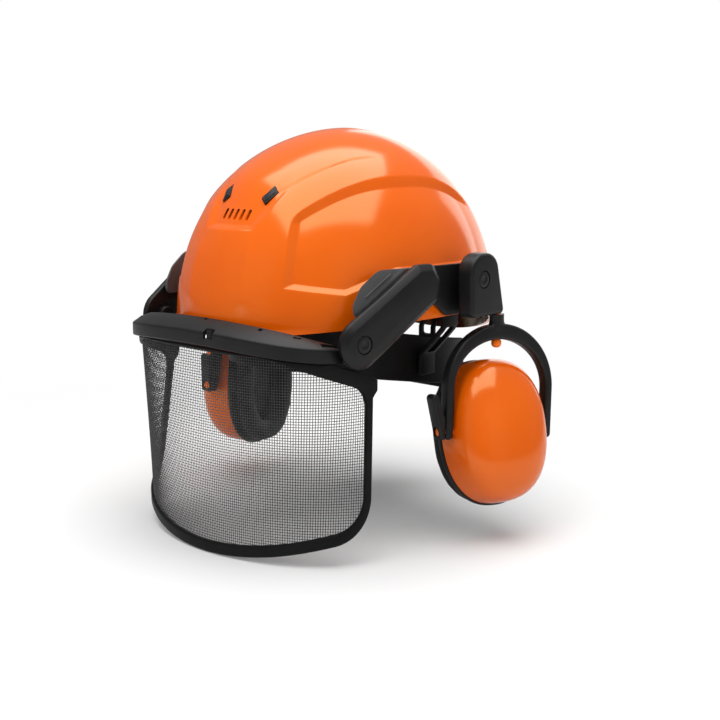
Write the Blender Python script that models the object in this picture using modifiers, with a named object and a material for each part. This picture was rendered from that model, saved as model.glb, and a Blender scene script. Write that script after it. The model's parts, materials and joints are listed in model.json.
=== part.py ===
"""Forestry helmet set: vented shell, strap cradle, ratchet headband, mesh visor on arms, two ear muffs.

Metres, +Z up. The wearer faces -Y and the wearer's left is +X. Z is 0 at the base plane of the shell's dome,
with X and Y at its crown.
"""

import math

import bmesh
import bpy
from mathutils import Matrix, Vector

MM = 0.001
DEG = math.pi / 180
GAP = 0.4 * MM
LEFT, RIGHT = 1, -1
SIDE_NAMES = {LEFT: "left", RIGHT: "right"}

# Shell: a dome on an egg-shaped plan
SHELL_FRONT = 132 * MM
SHELL_BACK = 111 * MM
SHELL_HALF_WIDTH = 105 * MM
SHELL_HEIGHT = 141 * MM
SHELL_WALL = 2.5 * MM
PLAN_POWER = 0.93
SIDE_POWER = 1.08
CROWN_POWER = 0.82
RIM_FRONT = 6 * MM
RIM_EAR = 14 * MM
RIM_BACK = -18 * MM
RIM_LIP = 2.5 * MM
RIM_LIP_HEIGHT = 4 * MM

# Shell's pressed side panel, front scoop and vents
PANEL_FRONT = 28 * DEG
PANEL_BACK = 128 * DEG
PANEL_PEAK = 80 * DEG
PANEL_BAND_FRONT = 4 * DEG
PANEL_BAND_BACK = 14 * DEG
PANEL_BOTTOM = 33 * MM
PANEL_KINK = 50 * DEG
PANEL_FRONT_RISE = 5 * MM
PANEL_BACK_RISE = 13 * MM
PANEL_RISE_SPREAD = 18 * DEG
PANEL_BOTTOM_BAND = 4.8 * MM
PANEL_BAND = 6.5 * MM
PANEL_TOP = 109 * MM
PANEL_FRONT_DROP = 25.3 * MM
PANEL_FRONT_POWER = 2.5
PANEL_BACK_DROP = 23.2 * MM
PANEL_BACK_POWER = 2.4
PANEL_DEPTH = 3.5 * MM
SCOOP_HALF_ANGLE = 10 * DEG
SCOOP_EDGE = 4 * DEG
SCOOP_DEPTH = 3.5 * MM
SLOT_COUNT = 5
SLOT_PITCH = 5.6 * MM
SLOT_WIDTH = 2.6 * MM
SLOT_HEIGHT = 7 * MM
SLOT_RISE = 83.5 * MM
VENT_ANGLE = 14 * DEG
VENT_RISE = 97.5 * MM
VENT_LENGTH = 12.6 * MM
VENT_WIDTH = 7.2 * MM
VENT_TURN = 55 * DEG
VENT_INSERT = 2 * MM

# Headband, sweatband and strap cradle
BAND_HALF_WIDTH = 77 * MM
BAND_CENTRE_Y = 20 * MM
BAND_FRONT = 118 * MM
BAND_HEIGHT = 34 * MM
BAND_WALL = 2.4 * MM
BAND_RISE = -21 * MM
BAND_SLOPE = 0.17
BAND_END = 35 * DEG
SWEAT_HEIGHT = 28 * MM
SWEAT_THICK = 5 * MM
SWEAT_HALF_SPREAD = 66 * DEG
STRAP_WIDTH = 20 * MM
STRAP_THICK = 1.4 * MM
STRAP_SPACE = 32 * MM
HANGER_WIDTH = 16 * MM
HANGER_THICK = 3 * MM
HANGER_TOP = 22 * MM
HANGER_STRAIGHT = 16 * MM
HANGER_FOOT = 14 * MM

# Nape ratchet
RACK_HEIGHT = 5.4 * MM
RACK_THICK = 2 * MM
RACK_SPREAD = 62 * DEG
RACK_OVERLAP = 9 * DEG
NAPE_RISE = -47.5 * MM
NAPE_WIDTH = 44 * MM
NAPE_HEIGHT = 32 * MM
NAPE_WALL = 3 * MM
PINION_RADIUS = 4.3 * MM
KNOB_RADIUS = 19 * MM
KNOB_DEPTH = 12 * MM
KNOB_SHAFT = 2.5 * MM

# Side brackets that carry the visor arms and the ear muffs
BRACKET_YAW = 9 * DEG
BRACKET_THICK = 2.5 * MM
BRACKET_STAND = 1 * MM
BRACKET_REST_Y = -8 * MM
BRACKET_LOW = 20 * MM
BRACKET_BACK = 22 * MM
BRACKET_TOP = 50 * MM
BRACKET_REACH = 53.5 * MM
BRACKET_TIP_DROP = 14 * MM
TONGUE_LENGTH = 26 * MM
TONGUE_HEIGHT = 3 * MM
TONGUE_REACH = 5.5 * MM
TONGUE_RISE = 25 * MM

# Visor arms
ARM_HINGE_Y = -42.2 * MM
ARM_HINGE_Z = 37.3 * MM
ARM_FORWARD = 51 * MM
ARM_FALL = 32.6 * MM
ARM_THICK = 7.4 * MM
ARM_STAND = 3.2 * MM
ARM_HINGE_RADIUS = 15.5 * MM
ARM_PIVOT_RADIUS = 16.5 * MM
ARM_PIN_RADIUS = 4 * MM
BUTTON_RADIUS = 5.6 * MM
BUTTON_SINK = 2 * MM

# Visor carrier and visor
CARRIER_INSET = 8.5 * MM
CARRIER_HALF_WIDTH = SHELL_HALF_WIDTH - CARRIER_INSET
CARRIER_LEAD = 18.5 * MM
CARRIER_FRONT = SHELL_FRONT + CARRIER_LEAD
CARRIER_POWER = 3
CARRIER_PINCH = 3.5 * MM
CARRIER_RIDGE = 10.4 * MM
CARRIER_FACE = 9.8 * MM
CARRIER_DROOP = 10.5 * MM
CARRIER_SHELF = 14 * MM
CARRIER_SHELF_END = 5 * MM
CARRIER_SHELF_RISE = 9.5 * MM
CARRIER_WALL = 2.4 * MM
LUG_RADIUS = 6 * MM
LUG_LENGTH = 6 * MM
VISOR_INSET = 7.2 * MM
VISOR_HALF_WIDTH = SHELL_HALF_WIDTH - VISOR_INSET
VISOR_SETBACK = 4 * MM
VISOR_TOP_FRONT = CARRIER_FRONT - VISOR_SETBACK
VISOR_TOP_BACK = 79.5 * MM
VISOR_TOP_POWER = 2.7
VISOR_FLARE = 13.2 * MM
VISOR_LOW_HALF_WIDTH = VISOR_HALF_WIDTH + VISOR_FLARE
VISOR_LOW_SETBACK = 3 * MM
VISOR_LOW_FRONT = VISOR_TOP_FRONT - VISOR_LOW_SETBACK
VISOR_LOW_BACK = 96.5 * MM
VISOR_LOW_POWER = 2
VISOR_LOW_SWEEP = 35 * DEG
VISOR_DROP = 153 * MM
VISOR_CORNER_DROP = 122.5 * MM
VISOR_CORNER_RADIUS = 33 * MM
VISOR_FOOT_RADIUS = 400 * MM
VISOR_MESH_THICK = 1.2 * MM
FRAME_WIDTH = 7.3 * MM
FRAME_THICK = 4.4 * MM
FRAME_TOP_BAR = 2.5 * MM
FRAME_GUSSET_RADIUS = 42 * MM
FRAME_TAB = 4 * MM
FRAME_END_DROP = 10 * MM
FRAME_TAB_HIGH = 19.5 * MM
FRAME_TAB_LOW = 29 * MM

# Ear cups
CUP_HALF_WIDTH = 37.8 * MM
CUP_HALF_HEIGHT = 50.7 * MM
CUP_POWER = 2.3
CUP_DEPTH = 38 * MM
CUP_PIVOT_DEPTH = 12.5 * MM
CUP_BELOW_PIVOT = -1 * MM
CUP_TILT = {LEFT: 12.5 * DEG, RIGHT: -9 * DEG}
CUP_WALL = 2.5 * MM
BASE_THICK = 3.5 * MM
BASE_LIP = 1 * MM
EAR_HALF_WIDTH = 21 * MM
EAR_HALF_HEIGHT = 32 * MM
CUSHION_THICK = 13 * MM
CUSHION_INSET = 1.5 * MM
FOAM_THICK = 11 * MM
FOAM_CLEAR = 1.5 * MM

# Ear-muff blocks, swivel pins and yokes
BLOCK_Y = 0.5 * MM
BLOCK_Z = 40 * MM
BLOCK_TOP = 17.5 * MM
BLOCK_FRONT = 14 * MM
BLOCK_BACK = 14.5 * MM
BLOCK_ROUND = 13 * MM
BLOCK_FOOT_BACK = 25.2 * MM
BLOCK_FOOT_Z = 14.3 * MM
BLOCK_THICK = 13 * MM
BLOCK_STAND = 2 * MM
SWIVEL_Y = 21 * MM
SWIVEL_SET = 4.1 * MM
SWIVEL_RADIUS = 2.5 * MM
SWIVEL_SOCKET = 9 * MM
SWIVEL_TIP = 6 * MM
NECK_RADIUS = 4.3 * MM
NECK_SPREAD = 1.45
NECK_HEIGHT = 7 * MM
YOKE_YAW = {LEFT: 18 * DEG, RIGHT: 12 * DEG}
YOKE_LEAN = 6.5 * DEG
YOKE_ROLL = -6 * DEG
YOKE_SHIFT = 3.3 * MM
YOKE_LEG = 6.5 * MM
YOKE_CLEAR = 0.7 * MM
YOKE_HALF_WIDTH = CUP_HALF_WIDTH + YOKE_CLEAR + YOKE_LEG
YOKE_ARCH = 44.6 * MM
YOKE_CROWN = 11 * MM
YOKE_THICK = 9 * MM
CUP_HEADROOM = 12.3 * MM
PIVOT_DROP = YOKE_CROWN + CUP_HEADROOM + CUP_HALF_HEIGHT - CUP_BELOW_PIVOT
PIVOT_RADIUS = 3 * MM
PIVOT_BOSS = 6.5 * MM
TAB_LENGTH = 31 * MM
TAB_THICK = 3.8 * MM
TAB_LEAN = 12 * DEG

ORANGE = (0.90, 0.24, 0.01)
BLACK = (0.016, 0.016, 0.017)
DARK = (0.03, 0.03, 0.032)
GREY = (0.30, 0.31, 0.32)
STEEL = (0.55, 0.55, 0.56)
MESH_GREY = (0.35, 0.35, 0.36)


# Scene and object helpers


def clear_scene():
    for obj in list(bpy.data.objects):
        bpy.data.objects.remove(obj)


def new_collection(name, hidden=False):
    collection = bpy.data.collections.new(name)
    bpy.context.scene.collection.children.link(collection)
    collection.hide_render = hidden
    return collection


def make_finish(name, colour, roughness, metallic=0.0):
    finish = bpy.data.materials.new(name)
    finish.use_nodes = True
    shader = finish.node_tree.nodes["Principled BSDF"]
    shader.inputs["Base Color"].default_value = (*colour, 1)
    shader.inputs["Roughness"].default_value = roughness
    shader.inputs["Metallic"].default_value = metallic
    return finish


def make_axis(name, place):
    axis = bpy.data.objects.new(name, None)
    axis.empty_display_size = 10 * MM
    axis.location = place
    PARTS.objects.link(axis)
    return axis


def add_part(name, mesh, finish, axis=None, place=None):
    """A named part; place is its world matrix, and axis the empty on the joint that it turns about."""
    part = bpy.data.objects.new(name, mesh)
    mesh.materials.clear()
    mesh.materials.append(finish)
    mesh.shade_smooth()
    mesh.set_sharp_from_angle(angle=35 * DEG)
    PARTS.objects.link(part)
    if axis:
        part.parent = axis
        part.matrix_parent_inverse = Matrix.Translation(-axis.location)
    part.matrix_basis = place or Matrix.Identity(4)
    return part


def add_cutter(name, mesh, place=None):
    cutter = bpy.data.objects.new(name, mesh)
    cutter.hide_render = True
    cutter.display_type = "WIRE"
    CUTTERS.objects.link(cutter)
    cutter.matrix_basis = place or Matrix.Identity(4)
    return cutter


def combine(part, other, operation="DIFFERENCE"):
    modifier = part.modifiers.new(operation.title(), "BOOLEAN")
    modifier.operation = operation
    modifier.solver = "EXACT"
    modifier.object = other


def bevel(part, width, segments=1, angle=40 * DEG):
    modifier = part.modifiers.new("Bevel", "BEVEL")
    modifier.width = width
    modifier.segments = segments
    modifier.limit_method = "ANGLE"
    modifier.angle_limit = angle


def solidify(part, thickness, offset=-1.0):
    modifier = part.modifiers.new("Solidify", "SOLIDIFY")
    modifier.thickness = thickness
    modifier.offset = offset
    modifier.use_even_offset = True


def mirror(part):
    modifier = part.modifiers.new("Mirror", "MIRROR")
    modifier.merge_threshold = 0.00005


# Mesh helpers


def mesh_from(bm, name):
    mesh = bpy.data.meshes.new(name)
    bm.to_mesh(mesh)
    bm.free()
    return mesh


def surface(name, rows, wrap_rows=False, wrap_columns=False, flip=False):
    """Quads over rows of points; equal points merge, so a row may close to a pole."""
    bm = bmesh.new()
    grid = [[bm.verts.new(point) for point in row] for row in rows]
    width = len(grid[0])
    for i in range(len(grid) if wrap_rows else len(grid) - 1):
        for j in range(width if wrap_columns else width - 1):
            near, far = grid[i], grid[(i + 1) % len(grid)]
            corners = [near[j], near[(j + 1) % width], far[(j + 1) % width], far[j]]
            bm.faces.new(corners[::-1] if flip else corners)
    bmesh.ops.remove_doubles(bm, verts=bm.verts, dist=0.00001)
    return mesh_from(bm, name)


def plate(name, outlines, low, high):
    """Flat outlines, the first the edge and the rest holes, extruded from low to high along Z."""
    curve = bpy.data.curves.new(name, "CURVE")
    curve.dimensions = "2D"
    curve.fill_mode = "BOTH"
    curve.extrude = (high - low) / 2
    for outline in outlines:
        spline = curve.splines.new("POLY")
        spline.points.add(len(outline) - 1)
        for point, (a, b) in zip(spline.points, outline):
            point.co = (a, b, 0, 1)
        spline.use_cyclic_u = True
    drawn = bpy.data.objects.new(name, curve)
    CUTTERS.objects.link(drawn)
    bpy.context.view_layer.update()
    graph = bpy.context.evaluated_depsgraph_get()
    mesh = bpy.data.meshes.new_from_object(drawn.evaluated_get(graph))
    bpy.data.objects.remove(drawn)
    bpy.data.curves.remove(curve)
    bm = bmesh.new()
    bm.from_mesh(mesh)
    bmesh.ops.remove_doubles(bm, verts=bm.verts, dist=0.00001)
    bmesh.ops.translate(bm, verts=bm.verts, vec=(0, 0, (low + high) / 2))
    bmesh.ops.recalc_face_normals(bm, faces=bm.faces)
    bm.to_mesh(mesh)
    bm.free()
    return mesh


def cylinder(name, radius, low, high, segments=20):
    """A round bar along Z."""
    bm = bmesh.new()
    lift = Matrix.Translation((0, 0, (low + high) / 2))
    bmesh.ops.create_cone(
        bm, cap_ends=True, segments=segments, radius1=radius, radius2=radius, depth=high - low, matrix=lift
    )
    return mesh_from(bm, name)


def box(name, low, high):
    bm = bmesh.new()
    low, high = Vector(low), Vector(high)
    size = Matrix.Diagonal((*(high - low), 1))
    bmesh.ops.create_cube(bm, size=1, matrix=Matrix.Translation((low + high) / 2) @ size)
    return mesh_from(bm, name)


def on_side(mesh, side):
    """The right-hand copy of a mesh drawn for the left, whose local Z points outward."""
    if side == RIGHT:
        mesh.transform(Matrix.Diagonal((1, 1, -1, 1)))
        mesh.flip_normals()
    return mesh


def side_frame(side, place, yaw=0.0):
    """Local X to the rear, Y up and Z along +X, for a plate drawn in side view."""
    back = Vector((side * math.sin(yaw), math.cos(yaw), 0))
    up = Vector((0, 0, 1))
    out = back.cross(up)
    turn = Matrix((back, up, out)).transposed().to_4x4()
    return Matrix.Translation((side * place[0], place[1], place[2])) @ turn


def along_local_x(place):
    """The frame whose Z runs along the given frame's X."""
    return place @ Matrix.Rotation(90 * DEG, 4, "Y")


# Outline helpers


def superellipse(half_a, half_b, power, count=32):
    points = []
    for i in range(count):
        turn = 2 * math.pi * i / count
        a, b = math.cos(turn), math.sin(turn)
        points.append((
            half_a * math.copysign(abs(a) ** (2 / power), a),
            half_b * math.copysign(abs(b) ** (2 / power), b),
        ))
    return points


def rounded(corners, step=15 * DEG):
    """A closed outline through (a, b, radius) corners, each turned into an arc."""
    outline = []
    for i, (a, b, radius) in enumerate(corners):
        here = Vector((a, b))
        before = (Vector(corners[i - 1][:2]) - here).normalized()
        after = (Vector(corners[(i + 1) % len(corners)][:2]) - here).normalized()
        half = before.angle(after) / 2
        if radius <= 0 or half > 89 * DEG:
            outline.append((a, b))
            continue
        centre = here + (before + after).normalized() * radius / math.sin(half)
        start = here + before * radius / math.tan(half) - centre
        swing = start.angle_signed(here + after * radius / math.tan(half) - centre)
        count = max(1, round(abs(swing) / step))
        for k in range(count + 1):
            turned = start @ Matrix.Rotation(swing * k / count, 2)
            outline.append(tuple(centre + turned))
    return outline


def capsule(start, start_radius, end, end_radius, count=12):
    """The outline round two circles."""
    start, end = Vector(start), Vector(end)
    run = end - start
    heading = math.atan2(run.y, run.x)
    open_angle = math.acos((start_radius - end_radius) / run.length)
    outline = []
    for centre, radius, first, sweep in (
        (end, end_radius, heading - open_angle, 2 * open_angle),
        (start, start_radius, heading + open_angle, 2 * math.pi - 2 * open_angle),
    ):
        for k in range(count + 1):
            turn = first + sweep * k / count
            outline.append((centre.x + radius * math.cos(turn), centre.y + radius * math.sin(turn)))
    return outline


def ribbon(path, thickness):
    """The outline of a bent strip of even thickness along a path of points."""
    points = [Vector(p) for p in path]
    left, right = [], []
    for i, point in enumerate(points):
        run = points[min(i + 1, len(points) - 1)] - points[max(i - 1, 0)]
        across = Vector((-run.y, run.x)).normalized() * thickness / 2
        left.append(tuple(point + across))
        right.append(tuple(point - across))
    return left + right[::-1]


def spaced(low, high, count):
    return [low + (high - low) * i / (count - 1) for i in range(count)]


# Shell


def shell_level(z):
    return math.asin(min(1, max(0, z) / SHELL_HEIGHT) ** (1 / CROWN_POWER))


def shell_point(angle, z, depth=0.0):
    """The dome's outer face at an angle from the front, sunk by depth."""
    reach = math.cos(shell_level(z)) ** SIDE_POWER
    across, along = math.sin(angle), math.cos(angle)
    length = SHELL_FRONT if along > 0 else SHELL_BACK
    x = SHELL_HALF_WIDTH * reach * math.copysign(abs(across) ** PLAN_POWER, across)
    y = -length * reach * math.copysign(abs(along) ** PLAN_POWER, along)
    normal = Vector((x / SHELL_HALF_WIDTH**2, y / length**2, max(z, 0) / SHELL_HEIGHT**2)).normalized()
    return Vector((x, y, z)) - normal * depth


def rim_height(angle):
    """Low at the front, raised over the ears and lowest at the nape."""
    if angle < 90 * DEG:
        share = math.sin(angle) ** 2
        return RIM_FRONT + (RIM_EAR - RIM_FRONT) * share
    share = math.sin((angle - 90 * DEG)) ** 2
    return RIM_EAR + (RIM_BACK - RIM_EAR) * share


def panel_top(angle):
    angle = min(max(angle, PANEL_FRONT), PANEL_BACK)
    if angle < PANEL_PEAK:
        share = (PANEL_PEAK - angle) / (PANEL_PEAK - PANEL_FRONT)
        return PANEL_TOP - PANEL_FRONT_DROP * share**PANEL_FRONT_POWER
    share = (angle - PANEL_PEAK) / (PANEL_BACK - PANEL_PEAK)
    return PANEL_TOP - PANEL_BACK_DROP * share**PANEL_BACK_POWER


def panel_bottom(angle):
    """Falls to the kink, then rises behind the side bracket."""
    angle = min(max(angle, PANEL_FRONT), PANEL_BACK)
    if angle < PANEL_KINK:
        return PANEL_BOTTOM + PANEL_FRONT_RISE * (PANEL_KINK - angle) / (PANEL_KINK - PANEL_FRONT)
    return PANEL_BOTTOM + PANEL_BACK_RISE * min(1, (angle - PANEL_KINK) / PANEL_RISE_SPREAD)


def scoop_depth(angle, z, low, high):
    across = min(1, max(0, (SCOOP_HALF_ANGLE + SCOOP_EDGE - angle) / SCOOP_EDGE))
    return SCOOP_DEPTH * across * max(0, (high - z) / (high - low)) if z > low - 1 * MM else 0


def shell_column(angle):
    """Points from rim to crown; the rows follow the panel's edges."""
    rim = rim_height(angle)
    top, bottom = panel_top(angle), panel_bottom(angle)
    in_panel = PANEL_FRONT + PANEL_BAND_FRONT - 0.001 <= angle <= PANEL_BACK - PANEL_BAND_BACK + 0.001
    sunk = PANEL_DEPTH if in_panel else 0
    lip = RIM_LIP * max(0, math.cos(2 * angle))
    low_inside, high_inside = bottom + PANEL_BOTTOM_BAND, top - PANEL_BAND
    column = [shell_point(angle, rim, -lip), shell_point(angle, rim + RIM_LIP_HEIGHT)]
    column.append(shell_point(angle, (rim + RIM_LIP_HEIGHT + bottom) / 2))
    column.append(shell_point(angle, bottom))
    for z in spaced(low_inside, high_inside, 4):
        column.append(shell_point(angle, z, sunk))
    start = shell_level(top)
    levels = spaced(start, math.pi / 2, 6)
    heights = [SHELL_HEIGHT * math.sin(level) ** CROWN_POWER for level in levels]
    for z in heights:
        column.append(shell_point(angle, z, scoop_depth(angle, z, heights[0], heights[1])))
    return column


def shell_angles():
    scoop = SCOOP_HALF_ANGLE + SCOOP_EDGE
    panel = (PANEL_FRONT + PANEL_BAND_FRONT, PANEL_BACK - PANEL_BAND_BACK)
    front = [0, SCOOP_HALF_ANGLE / 2, SCOOP_HALF_ANGLE, scoop, (scoop + PANEL_FRONT) / 2, PANEL_FRONT]
    return front + spaced(*panel, 10) + spaced(PANEL_BACK, math.pi, 7)


def vent_place(side):
    """The diamond vent's frame: Z out of the dome, X along the diamond."""
    place = shell_point(side * VENT_ANGLE, VENT_RISE)
    out = (place - shell_point(side * VENT_ANGLE, VENT_RISE, 1 * MM)).normalized()
    level = Vector((0, 0, 1)).cross(out).normalized()
    frame = Matrix((level, out.cross(level), out)).transposed().to_4x4()
    return Matrix.Translation(place) @ frame @ Matrix.Rotation(side * VENT_TURN, 4, "Z")


def vent_outline(clear):
    a, b = VENT_LENGTH / 2 - clear, VENT_WIDTH / 2 - clear
    lean = 0.3 * VENT_WIDTH
    return [(-a - lean / 2, -b), (a - lean / 2, -b), (a + lean / 2, b), (-a + lean / 2, b)]


def build_shell():
    columns = [shell_column(angle) for angle in shell_angles()]
    shell = add_part("shell", surface("shell", columns, flip=True), FINISH["orange"])
    mirror(shell)
    solidify(shell, SHELL_WALL)
    deep = 12 * MM
    for i in range(SLOT_COUNT):
        x = (i - (SLOT_COUNT - 1) / 2) * SLOT_PITCH
        face = shell_point(0, SLOT_RISE)
        low = (x - SLOT_WIDTH / 2, face.y - deep, SLOT_RISE - SLOT_HEIGHT / 2)
        high = (x + SLOT_WIDTH / 2, face.y + deep, SLOT_RISE + SLOT_HEIGHT / 2)
        combine(shell, add_cutter(f"front_slot_{i + 1}", box("front_slot", low, high)))
    for side, name in SIDE_NAMES.items():
        frame = vent_place(side)
        outline = vent_outline(0) if side == LEFT else [(-a, b) for a, b in vent_outline(0)]
        combine(shell, add_cutter(f"vent_cut_{name}", plate("vent_cut", [outline], -deep, deep), frame))
        outline = vent_outline(GAP) if side == LEFT else [(-a, b) for a, b in vent_outline(GAP)]
        insert = plate("vent_insert", [outline], -VENT_INSERT - 1 * MM, -1 * MM)
        add_part(f"vent_insert_{name}", insert, FINISH["dark"], place=frame)
        slot = tongue_box(2 * deep, 1 * MM)
        combine(shell, add_cutter(f"bracket_slot_{name}", on_side(slot, side), bracket_frame(side)))


# Headband, sweatband, straps and hangers


def band_point(angle, height, spread=0.0):
    """On the headband's outer face; angle from the wearer's left, positive to the front."""
    reach = BAND_FRONT if math.sin(angle) > 0 else BAND_HALF_WIDTH
    x = (BAND_HALF_WIDTH + spread) * math.cos(angle)
    y = BAND_CENTRE_Y - (reach + spread) * math.sin(angle)
    return Vector((x, y, BAND_RISE - BAND_SLOPE * y + height))


def build_headband():
    rows = []
    for angle in spaced(-BAND_END, 180 * DEG + BAND_END, 41):
        rows.append([band_point(angle, h) for h in (BAND_HEIGHT / 2, -BAND_HEIGHT / 2)])
    band = add_part("headband", surface("headband", rows, flip=True), FINISH["black"])
    solidify(band, BAND_WALL)
    rows = []
    for angle in spaced(90 * DEG - SWEAT_HALF_SPREAD, 90 * DEG + SWEAT_HALF_SPREAD, 25):
        end = abs(angle - 90 * DEG) / SWEAT_HALF_SPREAD
        half = SWEAT_HEIGHT / 2 * (1 - 0.3 * end**6)
        swell = SWEAT_THICK * (1 - 0.5 * end**6)
        inner = -BAND_WALL - GAP
        upper = [(half * 0.7, 0), (half, 0.1), (half * 0.6, 0.85)]
        lower = [(-h, s) for h, s in reversed(upper)]
        section = upper + [(0, 1)] + lower
        rows.append([band_point(angle, h, inner - swell * s) for h, s in section])
    bm = bmesh.new()
    bm.from_mesh(surface("sweatband", rows, wrap_columns=True))
    bmesh.ops.holes_fill(bm, edges=bm.edges)
    bmesh.ops.recalc_face_normals(bm, faces=bm.faces)
    add_part("sweatband", mesh_from(bm, "sweatband"), FINISH["dark"])


def hanger_line(top_reach, foot_reach, foot_height):
    """Down the shell's inside, across to the headband, and down its outer face."""
    return [
        (top_reach, HANGER_TOP),
        (top_reach, HANGER_TOP - HANGER_STRAIGHT),
        (top_reach - 2 * MM, HANGER_TOP - HANGER_STRAIGHT - 3 * MM),
        (foot_reach + 2 * MM, foot_height + HANGER_FOOT / 2 + 3 * MM),
        (foot_reach, foot_height + HANGER_FOOT / 2),
        (foot_reach, foot_height - HANGER_FOOT / 2),
    ]


def hanger_reach(angle):
    """How far out a hanger stands, just inside the shell's wall at its top."""
    at_top = shell_point(angle, HANGER_TOP)
    return math.hypot(at_top.x, at_top.y) - SHELL_WALL - HANGER_THICK / 2 - 3 * GAP


def build_hangers():
    side_foot = band_point(0, 0)
    front_foot = band_point(90 * DEG, 0)
    stand = HANGER_THICK / 2 + GAP
    nape_top = NAPE_RISE + NAPE_HEIGHT / 2 + GAP + HANGER_FOOT / 2
    feet = {
        "left": (0, side_foot.x + stand, side_foot.z),
        "right": (180, side_foot.x + stand, side_foot.z),
        "front": (-90, -front_foot.y + stand, front_foot.z),
        "rear": (90, nape_middle(), nape_top),
    }
    for name, (turn, foot, height) in feet.items():
        line = hanger_line(hanger_reach((turn + 90) * DEG), foot, height)
        mesh = plate("hanger", [ribbon(line, HANGER_THICK)], -HANGER_WIDTH / 2, HANGER_WIDTH / 2)
        place = Matrix.Rotation(turn * DEG, 4, "Z") @ Matrix.Rotation(90 * DEG, 4, "X")
        add_part(f"strap_hanger_{name}", mesh, FINISH["black"], place=place)


def build_straps():
    """Two crossed webbing straps inside the dome; the front-to-rear one passes over the other."""
    end_depth = SHELL_WALL + HANGER_THICK + STRAP_THICK / 2 + 6 * GAP
    foot = HANGER_TOP - HANGER_STRAIGHT / 2
    levels = spaced(shell_level(foot), 90 * DEG, 14)
    for name, start, space in (
        ("crown_strap_across", 90 * DEG, STRAP_SPACE + 2 * STRAP_THICK),
        ("crown_strap_lengthways", 0, STRAP_SPACE),
    ):
        path = []
        for angle, half in ((start, levels), (start + 180 * DEG, levels[-2::-1])):
            for level in half:
                z = SHELL_HEIGHT * math.sin(level) ** CROWN_POWER
                depth = end_depth + (space - end_depth) * ((z - foot) / (SHELL_HEIGHT - foot)) ** 1.5
                path.append(shell_point(angle, z, depth))
        across = Vector((math.cos(start), math.sin(start), 0)) * STRAP_WIDTH / 2
        strap = add_part(name, surface(name, [[p - across, p + across] for p in path]), FINISH["grey"])
        solidify(strap, STRAP_THICK, 0)


# Nape ratchet


def nape_middle():
    """The rack tunnel's middle, behind the headband's centre line."""
    return BAND_CENTRE_Y + BAND_HALF_WIDTH + GAP + RACK_THICK / 2


def arc_strip(name, angles, heights, clear):
    """A strip of the nape circle; angles from the rear middle, positive to the wearer's left."""
    inner = BAND_HALF_WIDTH + GAP - clear
    outer = BAND_HALF_WIDTH + GAP + RACK_THICK + clear
    low, high = heights
    rows = []
    for angle in spaced(*angles, 16):
        out = Vector((math.sin(angle), math.cos(angle), 0))
        corners = ((inner, low), (outer, low), (outer, high), (inner, high))
        rows.append([out * r + Vector((0, 0, z)) for r, z in corners])
    bm = bmesh.new()
    bm.from_mesh(surface(name, rows, wrap_columns=True))
    bmesh.ops.holes_fill(bm, edges=bm.edges)
    bmesh.ops.recalc_face_normals(bm, faces=bm.faces)
    return mesh_from(bm, name)


def build_nape():
    centre = Matrix.Translation((0, BAND_CENTRE_Y, NAPE_RISE))
    near = PINION_RADIUS + GAP
    for side, name in SIDE_NAMES.items():
        axis = make_axis(f"rack_axis_{name}", (0, BAND_CENTRE_Y, NAPE_RISE))
        angles = sorted((-side * RACK_OVERLAP, side * RACK_SPREAD))
        heights = sorted((side * near, side * (near + RACK_HEIGHT)))
        add_part(f"nape_rack_{name}", arc_strip("rack", angles, heights, 0), FINISH["black"], axis, centre)
    middle = nape_middle()
    front = middle - RACK_THICK / 2 - NAPE_WALL - 6 * MM
    back = middle + RACK_THICK / 2 + NAPE_WALL
    low, high = NAPE_RISE - NAPE_HEIGHT / 2, NAPE_RISE + NAPE_HEIGHT / 2
    half = NAPE_WIDTH / 2
    casing = box("nape_housing", (-half, front, low), (half, back, high))
    housing = add_part("nape_housing", casing, FINISH["black"])
    bevel(housing, 3 * MM, 2, 60 * DEG)
    reach = near + RACK_HEIGHT + GAP
    tunnel = arc_strip("rack_tunnel", (-RACK_SPREAD / 2, RACK_SPREAD / 2), (-reach, reach), GAP)
    combine(housing, add_cutter("rack_tunnel", tunnel, centre))
    rearward = Matrix.Translation((0, middle, NAPE_RISE)) @ Matrix.Rotation(-90 * DEG, 4, "X")
    hole = cylinder("shaft_hole", KNOB_SHAFT + GAP, -RACK_THICK, 30 * MM)
    combine(housing, add_cutter("shaft_hole", hole, rearward))
    axis = make_axis("knob_axis", (0, middle, NAPE_RISE))
    knob_start = back - middle + GAP
    knob = add_part("ratchet_knob", cylinder("knob", KNOB_RADIUS, knob_start, knob_start + KNOB_DEPTH, 28),
                    FINISH["black"], axis, rearward)
    bevel(knob, 2.5 * MM, 2)
    shaft = cylinder("knob_shaft", KNOB_SHAFT, RACK_THICK / 2, knob_start + 2 * MM)
    combine(knob, add_cutter("knob_shaft", shaft, rearward), "UNION")
    pinion = cylinder("ratchet_pinion", PINION_RADIUS, -RACK_THICK / 2, RACK_THICK / 2 - GAP)
    add_part("ratchet_pinion", pinion, FINISH["dark"], axis, rearward)


# Side brackets and visor arms


def bracket_out(y):
    """The X of a bracket's inner face at y: it leans in towards the front."""
    return SHELL_HALF_WIDTH + BRACKET_STAND + (y - BRACKET_REST_Y) * math.tan(BRACKET_YAW)


def bracket_frame(side):
    """At the visor arm's hinge, on the bracket's inner face."""
    return side_frame(side, (bracket_out(ARM_HINGE_Y), ARM_HINGE_Y, ARM_HINGE_Z), BRACKET_YAW)


def tongue_box(reach, clear):
    half = TONGUE_LENGTH / 2 + clear
    middle = -ARM_HINGE_Y
    rise = TONGUE_RISE - ARM_HINGE_Z
    tall = TONGUE_HEIGHT / 2 + clear
    near = (middle - half, rise - tall, -reach)
    return box("tongue", near, (middle + half, rise + tall, BRACKET_THICK / 2))


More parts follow.
